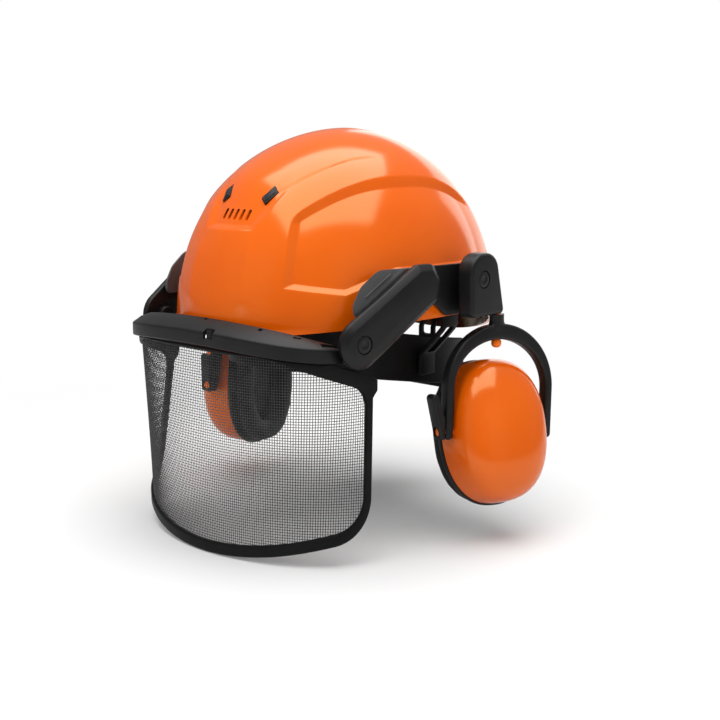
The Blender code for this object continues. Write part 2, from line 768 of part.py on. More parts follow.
def build_brackets():
    low, top = BRACKET_LOW - ARM_HINGE_Z, BRACKET_TOP - ARM_HINGE_Z
    back = BRACKET_BACK - ARM_HINGE_Y
    tip = -math.sqrt(BRACKET_REACH**2 - BRACKET_TIP_DROP**2)
    outline = rounded([
        (back, low, 4 * MM),
        (back, top, 10 * MM),
        (0.45 * tip, top, 14 * MM),
        (0.8 * tip, top - 12 * MM, 12 * MM),
        (tip, -BRACKET_TIP_DROP + 6 * MM, 5 * MM),
        (tip, low, 5 * MM),
    ])
    for side, name in SIDE_NAMES.items():
        frame = bracket_frame(side)
        mesh = on_side(plate("side_bracket", [outline], 0, BRACKET_THICK), side)
        bracket = add_part(f"side_bracket_{name}", mesh, FINISH["black"], place=frame)
        tongue = add_cutter(f"bracket_tongue_{name}", on_side(tongue_box(TONGUE_REACH, 0), side), frame)
        combine(bracket, tongue, "UNION")
        for hole, y, z in (("pin_hole", ARM_HINGE_Y, ARM_HINGE_Z), ("stem_hole", BLOCK_Y, BLOCK_Z)):
            bore = cylinder(hole, ARM_PIN_RADIUS + GAP, -20 * MM, 20 * MM)
            place = side_frame(side, (bracket_out(y), y, z))
            combine(bracket, add_cutter(f"bracket_{hole}_{name}", bore, place))


def arm_pivot():
    """Where the visor turns at the arm's lower front end: (inner face X, Y, Z)."""
    y = ARM_HINGE_Y - ARM_FORWARD
    return Vector((bracket_out(y) + BRACKET_THICK + ARM_STAND, y, ARM_HINGE_Z - ARM_FALL))


def build_arms():
    lift = make_axis("visor_lift_axis", (0, ARM_HINGE_Y, ARM_HINGE_Z))
    pivot = arm_pivot()
    inner = BRACKET_THICK + ARM_STAND
    reach = ARM_FORWARD / math.cos(BRACKET_YAW)
    outline = capsule((0, 0), ARM_HINGE_RADIUS, (-reach, -ARM_FALL), ARM_PIVOT_RADIUS)
    for side, name in SIDE_NAMES.items():
        frame = bracket_frame(side)
        mesh = on_side(plate("visor_arm", [outline], inner, inner + ARM_THICK), side)
        arm = add_part(f"visor_arm_{name}", mesh, FINISH["black"], lift, frame)
        bevel(arm, 2 * MM, 2)
        button_place = frame @ Matrix.Translation((-reach, -ARM_FALL, 0))
        floor = inner + ARM_THICK - BUTTON_SINK
        seat = cylinder("button_seat", BUTTON_RADIUS + GAP, floor, inner + 2 * ARM_THICK)
        combine(arm, add_cutter(f"button_seat_{name}", on_side(seat, side), button_place))
        button = cylinder("visor_button", BUTTON_RADIUS, floor + GAP, inner + ARM_THICK - GAP)
        add_part(f"visor_pivot_button_{name}", on_side(button, side), FINISH["dark"], lift, button_place)
        hinge = side_frame(side, (bracket_out(ARM_HINGE_Y), ARM_HINGE_Y, ARM_HINGE_Z))
        pin_low, pin_high = -BRACKET_THICK / 2, inner + ARM_THICK / 2
        pin_hole = cylinder("arm_pin_hole", ARM_PIN_RADIUS + GAP, -5 * MM, pin_high + GAP)
        combine(arm, add_cutter(f"arm_pin_hole_{name}", on_side(pin_hole, side), hinge))
        pin = cylinder("arm_hinge_pin", ARM_PIN_RADIUS, pin_low, pin_high)
        add_part(f"arm_hinge_pin_{name}", on_side(pin, side), FINISH["steel"], lift, hinge)
        lug_place = side_frame(side, pivot)
        lug_hole = cylinder("visor_pin_hole", LUG_RADIUS / 2 + GAP, -20 * MM, ARM_THICK / 2 + GAP)
        combine(arm, add_cutter(f"visor_pin_hole_{name}", on_side(lug_hole, side), lug_place))


# Visor carrier, frame and mesh


def plan_curve(half_width, front, back, power, sweep=90 * DEG):
    """An arc-length walk along a squarish oval's front: share -1 at the right end, 1 at the left end."""
    wide = math.sin(sweep) ** (2 / power)
    near = math.cos(sweep) ** (2 / power)
    points = []
    for turn in spaced(-sweep, sweep, 361):
        across = math.copysign(abs(math.sin(turn)) ** (2 / power), turn) / wide
        along = (abs(math.cos(turn)) ** (2 / power) - near) / (1 - near)
        points.append(Vector((half_width * across, -back - (front - back) * along, 0)))
    walked = [0.0]
    for before, after in zip(points, points[1:]):
        walked.append(walked[-1] + (after - before).length)

    def at(share):
        target = min(max((share + 1) / 2, 0), 1) * walked[-1]
        i = max(1, next(k for k, length in enumerate(walked) if length >= target - 1e-9))
        mix = (target - walked[i - 1]) / (walked[i] - walked[i - 1])
        place = points[i - 1].lerp(points[i], mix)
        past = max(abs(share) - 1, 0) * walked[-1] / 2
        return place + past * (points[-1] - points[-2] if share > 0 else points[0] - points[1]).normalized()

    return at, walked[-1] / 2


def carrier_droop(share):
    return CARRIER_DROOP * share**2


def visor_curves():
    top = plan_curve(VISOR_HALF_WIDTH, VISOR_TOP_FRONT, VISOR_TOP_BACK, VISOR_TOP_POWER)
    low = plan_curve(
        VISOR_LOW_HALF_WIDTH, VISOR_LOW_FRONT, VISOR_LOW_BACK, VISOR_LOW_POWER, VISOR_LOW_SWEEP
    )
    return top[0], low[0], top[1]


def sheet_point(curves, across, z):
    """On the visor's ruled sheet; across is measured along its top edge from the middle."""
    top, low, half = curves
    share = across / half
    place = top(share).lerp(low(share), min(max(-z / VISOR_DROP, 0), 1))
    return place + Vector((0, 0, z))


def frame_outlines(curves):
    """The visor frame's outer and inner edges, in the flat of the sheet."""
    half = curves[2]
    head = CARRIER_RIDGE - CARRIER_FACE - 3 * GAP
    tops = [(-half + 2 * half * k / 24, 0) for k in range(25)]
    tops = [(a, head - carrier_droop(a / half) - FRAME_END_DROP * (a / half) ** 8) for a, _ in tops]
    corner = VISOR_CORNER_DROP
    outer = rounded(
        [(a, z, 0) for a, z in reversed(tops)][1:-1]
        + [(-half - FRAME_TAB, -FRAME_TAB_HIGH, 1 * MM), (-half - FRAME_TAB, -FRAME_TAB_LOW, 1 * MM)]
        + [(-half, -FRAME_TAB_LOW - 1 * MM, 0), (-half, -corner, VISOR_CORNER_RADIUS)]
        + [(0, -VISOR_DROP, VISOR_FOOT_RADIUS), (half, -corner, VISOR_CORNER_RADIUS)]
        + [(half, -FRAME_TAB_LOW - 1 * MM, 0), (half + FRAME_TAB, -FRAME_TAB_LOW, 1 * MM)]
        + [(half + FRAME_TAB, -FRAME_TAB_HIGH, 1 * MM)],
        5 * DEG,
    )
    inset = half - FRAME_WIDTH
    inner = rounded([
        (0, head - FRAME_TOP_BAR, 0),
        (-inset, head - FRAME_TOP_BAR - CARRIER_DROOP, FRAME_GUSSET_RADIUS),
        (-inset, -corner + FRAME_WIDTH, VISOR_CORNER_RADIUS - FRAME_WIDTH),
        (0, -VISOR_DROP + FRAME_WIDTH, VISOR_FOOT_RADIUS),
        (inset, -corner + FRAME_WIDTH, VISOR_CORNER_RADIUS - FRAME_WIDTH),
        (inset, head - FRAME_TOP_BAR - CARRIER_DROOP, FRAME_GUSSET_RADIUS),
    ], 5 * DEG)
    return outer, inner


def ray_hit(outline, centre, turn):
    """The point where a ray from centre leaves an outline that goes round it."""
    ray = Vector((math.cos(turn), math.sin(turn)))
    best = None
    for i, start in enumerate(outline):
        begin = Vector(start) - centre
        run = Vector(outline[(i + 1) % len(outline)]) - centre - begin
        slant = ray.x * run.y - ray.y * run.x
        if abs(slant) < 1e-12:
            continue
        along = (begin.x * run.y - begin.y * run.x) / slant
        share = (begin.x * ray.y - begin.y * ray.x) / slant
        if -1e-9 <= share <= 1 + 1e-9 and along > 0:
            best = along if best is None else max(best, along)
    return centre + ray * best


def build_visor():
    tilt = make_axis("visor_tilt_axis", (0, *arm_pivot()[1:]))
    pivot = arm_pivot()
    path, half = plan_curve(CARRIER_HALF_WIDTH, CARRIER_FRONT, -pivot.y, CARRIER_POWER)
    rows = []
    for share in spaced(-1, 1, 45):
        ridge = path(share)
        step = 0.01
        run = (path(min(share + step, 1)) - path(max(share - step, -1))).normalized()
        inward = Vector((-run.y, run.x, 0))
        ridge.x -= CARRIER_PINCH * share**3
        shelf = CARRIER_SHELF + (CARRIER_SHELF_END - CARRIER_SHELF) * share**4
        rise = CARRIER_SHELF_RISE * (1 - share**4)
        z = CARRIER_RIDGE - carrier_droop(share)
        rows.append([
            ridge + inward * shelf + Vector((0, 0, z + rise)),
            ridge + inward * shelf / 2 + Vector((0, 0, z + rise / 2 + 0.8 * MM)),
            ridge + inward * 1 * MM + Vector((0, 0, z)),
            ridge + Vector((0, 0, z - 1.5 * MM)),
            ridge + Vector((0, 0, z - CARRIER_FACE)),
        ])
    carrier = add_part("visor_carrier", surface("visor_carrier", rows), FINISH["black"], tilt)
    solidify(carrier, CARRIER_WALL)
    for side, name in SIDE_NAMES.items():
        place = side_frame(side, pivot)
        lug = cylinder("visor_lug", LUG_RADIUS, -LUG_LENGTH, -GAP - LUG_RADIUS * math.tan(BRACKET_YAW))
        combine(carrier, add_cutter(f"visor_lug_{name}", on_side(lug, side), place), "UNION")
        pin = cylinder("visor_pin", LUG_RADIUS / 2, -LUG_LENGTH / 2, ARM_THICK / 2)
        combine(carrier, add_cutter(f"visor_pin_{name}", on_side(pin, side), place), "UNION")
    curves = visor_curves()
    outer, inner = frame_outlines(curves)
    centre = Vector((0, -VISOR_DROP / 2))
    turns = [2 * math.pi * k / 96 for k in range(96)]
    band = []
    for turn in turns:
        edges = [ray_hit(outline, centre, turn) for outline in (inner, outer)]
        band.append([sheet_point(curves, *edge) for edge in edges])
    frame = add_part("visor_frame", surface("visor_frame", band, wrap_rows=True), FINISH["black"], tilt)
    solidify(frame, FRAME_THICK, 0)
    edge = [ray_hit(inner, centre, turn) for turn in turns]
    shrunk = [point + (centre - point).normalized() * GAP for point in edge]
    reach = max(point.x for point in shrunk)
    rows = []
    for across in [reach * math.sin(turn) for turn in spaced(-89 * DEG, 89 * DEG, 33)]:
        heights = [cross_height(shrunk, across, upper) for upper in (True, False)]
        rows.append([sheet_point(curves, across, z) for z in spaced(*heights, 3)])
    mesh = add_part("visor_mesh", surface("visor_mesh", rows), FINISH["mesh"], tilt)
    solidify(mesh, VISOR_MESH_THICK, 0)


def cross_height(outline, across, upper):
    """Where the line across the sheet's flat meets an outline, at the top or at the bottom."""
    found = []
    for i, start in enumerate(outline):
        end = outline[(i + 1) % len(outline)]
        if (start.x - across) * (end.x - across) <= 0 and start.x != end.x:
            found.append(start.y + (end.y - start.y) * (across - start.x) / (end.x - start.x))
    return max(found) if upper else min(found)


# Ear muffs


def block_inner():
    """The X of a block's flat inner face, clear of the bracket at its rear end."""
    return bracket_out(BRACKET_BACK) + BRACKET_THICK + BLOCK_STAND


def swivel_place():
    """The foot of the swivel pin's socket, on the pin's axis, for the left side."""
    return Vector((block_inner() + BLOCK_THICK - SWIVEL_SET, SWIVEL_Y, BLOCK_FOOT_Z))


def upright(side, place):
    return Matrix.Translation((side * place.x, place.y, place.z))


def build_block(side, name):
    swing = make_axis(f"muff_swing_axis_{name}", (0, BLOCK_Y, BLOCK_Z))
    frame = side_frame(side, (block_inner(), BLOCK_Y, BLOCK_Z))
    foot = BLOCK_FOOT_Z - BLOCK_Z
    outline = rounded([
        (BLOCK_BACK, BLOCK_TOP, BLOCK_ROUND),
        (-BLOCK_FRONT, BLOCK_TOP, BLOCK_ROUND),
        (1 * MM - BLOCK_FRONT, foot, 5 * MM),
        (BLOCK_FOOT_BACK - BLOCK_Y, foot, 2 * MM),
    ])
    mesh = on_side(plate("ear_block", [outline], 0, BLOCK_THICK), side)
    block = add_part(f"ear_block_{name}", mesh, FINISH["black"], swing, frame)
    bevel(block, 1.5 * MM, 2)
    place = upright(side, swivel_place())
    socket = cylinder("swivel_socket", SWIVEL_RADIUS + GAP, -5 * MM, SWIVEL_SOCKET)
    combine(block, add_cutter(f"swivel_socket_{name}", socket, place))
    tip = -NECK_HEIGHT - YOKE_CROWN - SWIVEL_TIP
    pin = add_part(
        f"swivel_pin_{name}", cylinder("swivel_pin", SWIVEL_RADIUS, tip, SWIVEL_SOCKET - GAP),
        FINISH["orange"], swing, place,
    )
    bevel(pin, 1 * MM, 2)
    seat = cylinder("block_button_seat", BUTTON_RADIUS + GAP, BLOCK_THICK - BUTTON_SINK, 2 * BLOCK_THICK)
    combine(block, add_cutter(f"block_button_seat_{name}", on_side(seat, side), frame))
    stem_hole = cylinder("block_stem_hole", ARM_PIN_RADIUS + GAP, -BLOCK_THICK, BLOCK_THICK)
    combine(block, add_cutter(f"block_stem_hole_{name}", on_side(stem_hole, side), frame))
    head = cylinder("block_button", BUTTON_RADIUS, BLOCK_THICK - BUTTON_SINK + GAP, BLOCK_THICK - GAP)
    button = add_part(f"block_pivot_button_{name}", on_side(head, side), FINISH["dark"], place=frame)
    depth = block_inner() - bracket_out(BLOCK_Y)
    stem = cylinder("block_stem", ARM_PIN_RADIUS, -depth, BLOCK_THICK - BUTTON_SINK / 2)
    combine(button, add_cutter(f"block_stem_{name}", on_side(stem, side), frame), "UNION")


def yoke_frame(side):
    """At the top of the yoke's arch: turned to the ear, rolled, and leaning out towards its foot."""
    place = swivel_place() - Vector((0, 0, NECK_HEIGHT))
    turn = Matrix.Rotation(-side * YOKE_LEAN, 4, "X") @ Matrix.Rotation(YOKE_ROLL, 4, "Z")
    return side_frame(side, place, YOKE_YAW[side]) @ turn @ Matrix.Translation((YOKE_SHIFT, 0, 0))


def leg_foot():
    """The middle of a yoke leg's foot, out from the yoke's centre line."""
    return YOKE_HALF_WIDTH - PIVOT_BOSS / 2


def build_yoke(side, name):
    place = swivel_place()
    swivel = make_axis(f"muff_swivel_axis_{name}", (side * place.x, place.y, place.z))
    frame = yoke_frame(side)
    centre = -YOKE_ARCH
    outer_a, outer_b = YOKE_HALF_WIDTH, YOKE_ARCH
    inner_a, inner_b = YOKE_HALF_WIDTH - YOKE_LEG, YOKE_ARCH - YOKE_CROWN
    foot, boss, nip = leg_foot(), PIVOT_BOSS / 2, 2 * MM
    low = -PIVOT_DROP - PIVOT_BOSS / 2 - nip
    arch = [(outer_a * math.cos(t), centre + outer_b * math.sin(t)) for t in spaced(0, math.pi, 25)]
    under = [(inner_a * math.cos(t), centre + inner_b * math.sin(t)) for t in spaced(math.pi, 0, 21)]
    outline = arch + [(-foot - boss, low + nip), (nip - foot - boss, low), (boss - foot - nip, low)]
    outline += [(boss - foot, low + nip)] + under + [(foot - boss, low + nip), (foot - boss + nip, low)]
    outline += [(foot + boss - nip, low), (foot + boss, low + nip)]
    mesh = on_side(plate("yoke", [outline], -YOKE_THICK / 2, YOKE_THICK / 2), side)
    yoke = add_part(f"yoke_{name}", mesh, FINISH["black"], swivel, frame)
    bevel(yoke, 1.2 * MM)
    upper = upright(side, place)
    neck = cylinder("yoke_neck", NECK_RADIUS, -NECK_HEIGHT - YOKE_CROWN / 2, -GAP)
    neck.transform(Matrix.Diagonal((1, NECK_SPREAD, 1, 1)))
    combine(yoke, add_cutter(f"yoke_neck_{name}", neck, upper), "UNION")
    bore = cylinder("swivel_bore", SWIVEL_RADIUS + GAP, -NECK_HEIGHT - 2 * YOKE_CROWN, 5 * MM)
    combine(yoke, add_cutter(f"swivel_bore_{name}", bore, upper))
    pivots = along_local_x(frame @ Matrix.Translation((0, -PIVOT_DROP, 0)))
    reach = 3 * YOKE_HALF_WIDTH
    pivot_bore = add_cutter(
        f"pivot_bore_{name}", cylinder("pivot_bore", PIVOT_RADIUS + GAP, -reach, reach), pivots
    )
    combine(yoke, pivot_bore)
    front = -foot - boss - GAP
    lean = math.tan(TAB_LEAN) * TAB_LENGTH
    tab = rounded([
        (front, low, 1 * MM),
        (front, low + TAB_LENGTH * 0.45, 0),
        (front - lean, low + TAB_LENGTH, 2 * MM),
        (front - lean - TAB_THICK * 1.3, low + TAB_LENGTH, 2 * MM),
        (front - TAB_THICK, low, 1.5 * MM),
    ])
    mesh = on_side(plate("finger_tab", [tab], -YOKE_THICK / 2, YOKE_THICK / 2), side)
    finger_tab = add_part(f"finger_tab_{name}", mesh, FINISH["black"], swivel, frame)
    combine(finger_tab, pivot_bore)


def cup_frame(side):
    """On the cup's tilt axis, between the yoke's feet; local Z points along the cup's depth."""
    pivot = yoke_frame(side) @ Matrix.Translation((0, -PIVOT_DROP, 0))
    return pivot @ Matrix.Rotation(-side * CUP_TILT[side], 4, "X")


def cup_size(depth):
    """The cup's outline shrinks towards its face."""
    share = depth / CUP_DEPTH
    return (1 - share**5) ** 0.5 * (1 - 0.1 * share**2)


def oval(half_a, half_b, z, count=32):
    return [Vector((a, b - CUP_BELOW_PIVOT, z)) for a, b in superellipse(half_a, half_b, CUP_POWER, count)]


def build_cup(side, name):
    frame = cup_frame(side)
    tilt = make_axis(f"cup_tilt_axis_{name}", frame.translation)
    base = -CUP_PIVOT_DEPTH
    rings = []
    for share in (0, 0.25, 0.5, 0.68, 0.82, 0.92, 0.975, 1):
        size = cup_size(share * CUP_DEPTH)
        rings.append(oval(CUP_HALF_WIDTH * size, CUP_HALF_HEIGHT * size, base + share * CUP_DEPTH))
    mesh = on_side(surface("ear_cup", rings, wrap_columns=True), side)
    cup = add_part(f"ear_cup_{name}", mesh, FINISH["orange"], tilt, frame)
    solidify(cup, CUP_WALL)
    lip_a, lip_b = CUP_HALF_WIDTH + BASE_LIP, CUP_HALF_HEIGHT + BASE_LIP
    edges = [superellipse(lip_a, lip_b, CUP_POWER), superellipse(EAR_HALF_WIDTH, EAR_HALF_HEIGHT, CUP_POWER)]
    edges = [[(a, b - CUP_BELOW_PIVOT) for a, b in edge] for edge in edges]
    top = base - GAP
    mesh = on_side(plate("cup_base", edges, top - BASE_THICK, top), side)
    add_part(f"cup_base_{name}", mesh, FINISH["black"], tilt, frame)
    slim = CUP_WALL + FOAM_CLEAR + CUP_HALF_WIDTH * (1 - cup_size(2 * FOAM_THICK))
    edge = superellipse(CUP_HALF_WIDTH - slim, CUP_HALF_HEIGHT - slim, CUP_POWER)
    edge = [(a, b - CUP_BELOW_PIVOT) for a, b in edge]
    foam = plate("cup_foam", [edge], base + GAP, base + GAP + FOAM_THICK)
    foam_part = add_part(f"cup_foam_{name}", on_side(foam, side), FINISH["dark"], tilt, frame)
    bevel(foam_part, 2 * MM)
    build_cushion(side, name, tilt, frame, top - BASE_THICK - GAP)
    foot = leg_foot() + PIVOT_BOSS / 2 + GAP + TAB_THICK
    wall = CUP_HALF_WIDTH * cup_size(CUP_PIVOT_DEPTH) + GAP
    bars = along_local_x(frame)
    for end, low, high in (("front", -foot, -wall), ("rear", wall, foot - TAB_THICK)):
        pin = cylinder("cup_pivot_pin", PIVOT_RADIUS, low, high)
        add_part(f"cup_pivot_pin_{end}_{name}", pin, FINISH["orange"], tilt, bars)


def build_cushion(side, name, tilt, frame, top):
    """A soft ring: crowned towards the head, drawn in where it meets the base."""
    outer_a, outer_b = CUP_HALF_WIDTH - CUSHION_INSET, CUP_HALF_HEIGHT - CUSHION_INSET
    width_a, width_b = outer_a - EAR_HALF_WIDTH, outer_b - EAR_HALF_HEIGHT
    section = [(0.10, 0), (0, 0.30), (0.06, 0.66), (0.28, 0.93), (0.55, 1), (0.82, 0.9), (1, 0.55), (0.95, 0)]
    rings = []
    for inset, drop in section:
        rings.append(oval(outer_a - width_a * inset, outer_b - width_b * inset, top - CUSHION_THICK * drop))
    mesh = on_side(surface("ear_cushion", rings, wrap_rows=True, wrap_columns=True, flip=True), side)
    add_part(f"ear_cushion_{name}", mesh, FINISH["dark"], tilt, frame)


def build_muffs():
    for side, name in SIDE_NAMES.items():
        build_block(side, name)
        build_yoke(side, name)
        build_cup(side, name)


clear_scene()
PARTS = new_collection("forestry_helmet")
CUTTERS = new_collection("cutters", hidden=True)
FINISH = {
    "orange": make_finish("orange_plastic", ORANGE, 0.25),
    "black": make_finish("black_plastic", BLACK, 0.5),
    "dark": make_finish("dark_trim", DARK, 0.6),
    "grey": make_finish("grey_webbing", GREY, 0.8),
    "steel": make_finish("steel", STEEL, 0.35, 1.0),
    "mesh": make_finish("grey_mesh", MESH_GREY, 0.5),
}
build_shell()
build_headband()
build_straps()
build_hangers()
build_nape()
build_brackets()
build_arms()
build_visor()
build_muffs()
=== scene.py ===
import json
import math
import bmesh
import bpy
from mathutils import Matrix, Vector, noise


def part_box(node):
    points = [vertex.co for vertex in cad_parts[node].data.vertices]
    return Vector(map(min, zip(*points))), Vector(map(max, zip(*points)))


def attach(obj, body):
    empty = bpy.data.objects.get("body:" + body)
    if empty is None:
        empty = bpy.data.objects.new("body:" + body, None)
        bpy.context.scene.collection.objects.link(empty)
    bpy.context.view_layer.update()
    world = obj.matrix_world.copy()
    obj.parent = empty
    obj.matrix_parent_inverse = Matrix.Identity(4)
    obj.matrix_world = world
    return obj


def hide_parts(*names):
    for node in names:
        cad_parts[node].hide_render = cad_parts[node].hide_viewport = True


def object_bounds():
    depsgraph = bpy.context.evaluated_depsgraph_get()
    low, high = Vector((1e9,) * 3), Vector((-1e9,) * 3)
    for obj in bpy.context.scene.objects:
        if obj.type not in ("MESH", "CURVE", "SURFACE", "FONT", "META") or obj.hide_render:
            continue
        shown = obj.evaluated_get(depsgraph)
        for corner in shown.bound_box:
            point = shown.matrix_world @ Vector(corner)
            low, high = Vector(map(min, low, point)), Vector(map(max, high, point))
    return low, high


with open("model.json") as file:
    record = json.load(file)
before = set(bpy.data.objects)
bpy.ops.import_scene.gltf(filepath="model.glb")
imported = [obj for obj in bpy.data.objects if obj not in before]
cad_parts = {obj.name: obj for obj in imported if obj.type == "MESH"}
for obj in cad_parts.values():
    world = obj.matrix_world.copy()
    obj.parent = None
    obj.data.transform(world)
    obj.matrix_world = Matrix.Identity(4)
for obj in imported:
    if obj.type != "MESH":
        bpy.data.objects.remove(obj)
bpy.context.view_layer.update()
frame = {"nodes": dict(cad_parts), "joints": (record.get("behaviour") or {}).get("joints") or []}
mm = 0.001
deg = math.pi / 180
sides = {"left": 1, "right": -1}
jointAt = {j["name"]: Vector(j["pos_m"]) / mm for j in frame["joints"]}


# Small tools; every shape below is drawn in millimetres

def spaced(low, high, count):
    return [low + (high - low) * i / (count - 1) for i in range(count)]


def clamp(value, low=0.0, high=1.0):
    return min(max(value, low), high)


def smooth(value):
    t = clamp(value)
    return t * t * (3 - 2 * t)


def ease(share, bend=0.14):  # a straight ramp from 0 to 1 with rounded ends
    s = clamp(share)
    if s < bend:
        return s * s / (2 * bend * (1 - bend))
    if s > 1 - bend:
        return 1 - (1 - s) ** 2 / (2 * bend * (1 - bend))
    return (s - bend / 2) / (1 - bend)


def meshFrom(name, points, faces, place=None):
    mesh = bpy.data.meshes.new(name)
    mesh.from_pydata([tuple(Vector(p)) for p in points], [], faces)
    if place:
        mesh.transform(place)
        if place.determinant() < 0:
            mesh.flip_normals()
    mesh.transform(Matrix.Scale(mm, 4))
    return mesh


def skin(name, rows, closeRows=False, closeColumns=False, flip=False, capEnds=False, place=None):
    wide, tall = len(rows[0]), len(rows)
    points = [p for row in rows for p in row]
    faces = []
    for i in range(tall if closeRows else tall - 1):
        for k in range(wide if closeColumns else wide - 1):
            a, b = i * wide + k, i * wide + (k + 1) % wide
            c, d = ((i + 1) % tall) * wide + (k + 1) % wide, ((i + 1) % tall) * wide + k
            faces.append((a, d, c, b) if flip else (a, b, c, d))
    if capEnds:
        first, last = list(range(wide)), [(tall - 1) * wide + k for k in range(wide)]
        faces += [first, last[::-1]] if flip else [first[::-1], last]
    return meshFrom(name, points, faces, place)


def inset(outline, amount):  # an outline drawn counter-clockwise, moved inward
    moved = []
    for i, point in enumerate(outline):
        before = (Vector(point) - Vector(outline[i - 1])).normalized()
        after = (Vector(outline[(i + 1) % len(outline)]) - Vector(point)).normalized()
        normal = Vector((-before.y - after.y, before.x + after.x))
        normal = normal.normalized() if normal.length > 1e-6 else Vector((-after.y, after.x))
        turn = max(0.5, normal.dot(Vector((-after.y, after.x))))
        moved.append(Vector(point) + normal * amount / turn)
    return moved


def slab(name, outline, low, high, edge, place=None, steps=5, chamfer=None):  # a plate with rounded edges
    area = sum(a[0] * b[1] - a[1] * b[0] for a, b in zip(outline, outline[1:] + outline[:1]))
    outline = outline if area > 0 else outline[::-1]
    turns = spaced(0, 90 * deg, steps + 1)
    levels = [(edge * (1 - math.sin(t)), low + edge * (1 - math.cos(t))) for t in turns]
    if chamfer:
        levels += [(amount, high - below) for amount, below in chamfer]
    else:
        levels += [(edge * (1 - math.cos(t)), high - edge * (1 - math.sin(t))) for t in turns]
    rows = [[(p.x, p.y, z) for p in inset(outline, amount)] for amount, z in levels]
    return skin(name, rows, closeColumns=True, capEnds=True, place=place)


def rounded(corners, step=4 * deg):  # a closed outline through (a, b, radius) corners
    outline = []
    for i, (a, b, radius) in enumerate(corners):
        here = Vector((a, b))
        before = (Vector(corners[i - 1][:2]) - here).normalized()
        after = (Vector(corners[(i + 1) % len(corners)][:2]) - here).normalized()
        half = before.angle(after) / 2
        if radius <= 0 or half > 89 * deg:
            outline.append((a, b))
            continue
        centre = here + (before + after).normalized() * radius / math.sin(half)
        start = here + before * radius / math.tan(half) - centre
        swing = start.angle_signed(here + after * radius / math.tan(half) - centre)
        count = max(2, round(abs(swing) / step))
        for k in range(count + 1):
            outline.append(tuple(centre + start @ Matrix.Rotation(swing * k / count, 2)))
    return outline


def tile(low, high, radius, step=20 * deg):  # a rectangle's outline with rounded corners
    corners = [(low[0], low[1]), (high[0], low[1]), (high[0], high[1]), (low[0], high[1])]
    return rounded([(a, b, radius) for a, b in corners], step)


def circle(radius, count=48, centre=(0, 0)):
    turns = [2 * math.pi * k / count for k in range(count)]
    return [(centre[0] + radius * math.cos(t), centre[1] + radius * math.sin(t)) for t in turns]


def superellipse(halfA, halfB, power, count=96):
    points = []
    for t in [2 * math.pi * k / count for k in range(count)]:
        a, b = math.cos(t), math.sin(t)
        points.append((halfA * math.copysign(abs(a) ** (2 / power), a),
                       halfB * math.copysign(abs(b) ** (2 / power), b)))
    return points


def settled(obj):  # the mesh with its modifiers applied
    graph = bpy.context.evaluated_depsgraph_get()
    mesh = bpy.data.meshes.new_from_object(obj.evaluated_get(graph))
    obj.modifiers.clear()
    obj.data = mesh
    return obj


def carve(obj, meshes, operation="DIFFERENCE"):  # cuts or joins several closed meshes in one go
    bm = bmesh.new()
    for mesh in meshes:
        bm.from_mesh(mesh)
    joined = bpy.data.meshes.new("cutter")
    bm.to_mesh(joined)
    bm.free()
    cutter = bpy.data.objects.new("cutter", joined)
    bpy.context.scene.collection.objects.link(cutter)
    cut = obj.modifiers.new("carve", "BOOLEAN")
    cut.operation, cut.solver, cut.object = operation, "EXACT", cutter
    bpy.context.view_layer.update()
    settled(obj)
    bpy.data.objects.remove(cutter)
    return obj


def welded(mesh):  # joins points that fall together, as at a dome's crown
    bm = bmesh.new()
    bm.from_mesh(mesh)
    bmesh.ops.remove_doubles(bm, verts=bm.verts, dist=0.00002)
    bm.to_mesh(mesh)
    bm.free()
    return mesh


def thicken(obj, wall):
    shell = obj.modifiers.new("wall", "SOLIDIFY")
    shell.thickness, shell.offset, shell.use_even_offset = wall * mm, -1, True
    bpy.context.view_layer.update()
    return settled(obj)


def bare(name, mesh):
    obj = bpy.data.objects.new(name, mesh)
    bpy.context.scene.collection.objects.link(obj)
    return obj


def dress(obj, finish, body, stands=(), sharp=32):  # finish, shading, body and replaced nodes
    mesh = obj.data
    mesh.materials.clear()
    mesh.materials.append(finish)
    mesh.polygons.foreach_set("use_smooth", [True] * len(mesh.polygons))
    mesh.set_sharp_from_angle(angle=sharp * deg)
    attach(obj, body)
    if stands:
        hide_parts(*stands)
    return obj


def sideFrame(side, place, yaw=0.0):  # local X to the rear, Y up, Z along +X
    back = Vector((side * math.sin(yaw), math.cos(yaw), 0))
    up = Vector((0, 0, 1))
    turn = Matrix((back, up, back.cross(up))).transposed().to_4x4()
    return Matrix.Translation((side * place[0], place[1], place[2])) @ turn


def outward(side):  # turns a shape drawn for the left, with Z outward, to the asked side
    return Matrix.Diagonal((1, 1, side, 1))


# Shader maths

class Flow:
    def __init__(self, tree, socket=None):
        self.tree, self.socket = tree, socket

    def node(self, kind, settings=None, links=None, out=0):
        made = self.tree.nodes.new("ShaderNode" + kind)
        for key, value in (settings or {}).items():
            if key == "stops":
                for i, (at, colour) in enumerate(value):
                    stop = made.color_ramp.elements[i] if i < 2 else made.color_ramp.elements.new(at)
                    stop.position, stop.color = at, (*colour, 1)
            else:
                setattr(made, key, value)
        for key, value in (links or {}).items():
            if isinstance(value, Flow):
                self.tree.links.new(value.socket, made.inputs[key])
            else:
                made.inputs[key].default_value = value
        return Flow(self.tree, made.outputs[out])

    def to(self, socket):
        self.tree.links.new(self.socket, socket)

    def maths(self, operation, first, second):
        return self.node("Math", {"operation": operation}, {0: first, 1: second})

    def __add__(self, other):
        return self.maths("ADD", self, other)

    def __radd__(self, other):
        return self.maths("ADD", other, self)

    def __sub__(self, other):
        return self.maths("SUBTRACT", self, other)

    def __rsub__(self, other):
        return self.maths("SUBTRACT", other, self)

    def __mul__(self, other):
        return self.maths("MULTIPLY", self, other)

    def __rmul__(self, other):
        return self.maths("MULTIPLY", other, self)


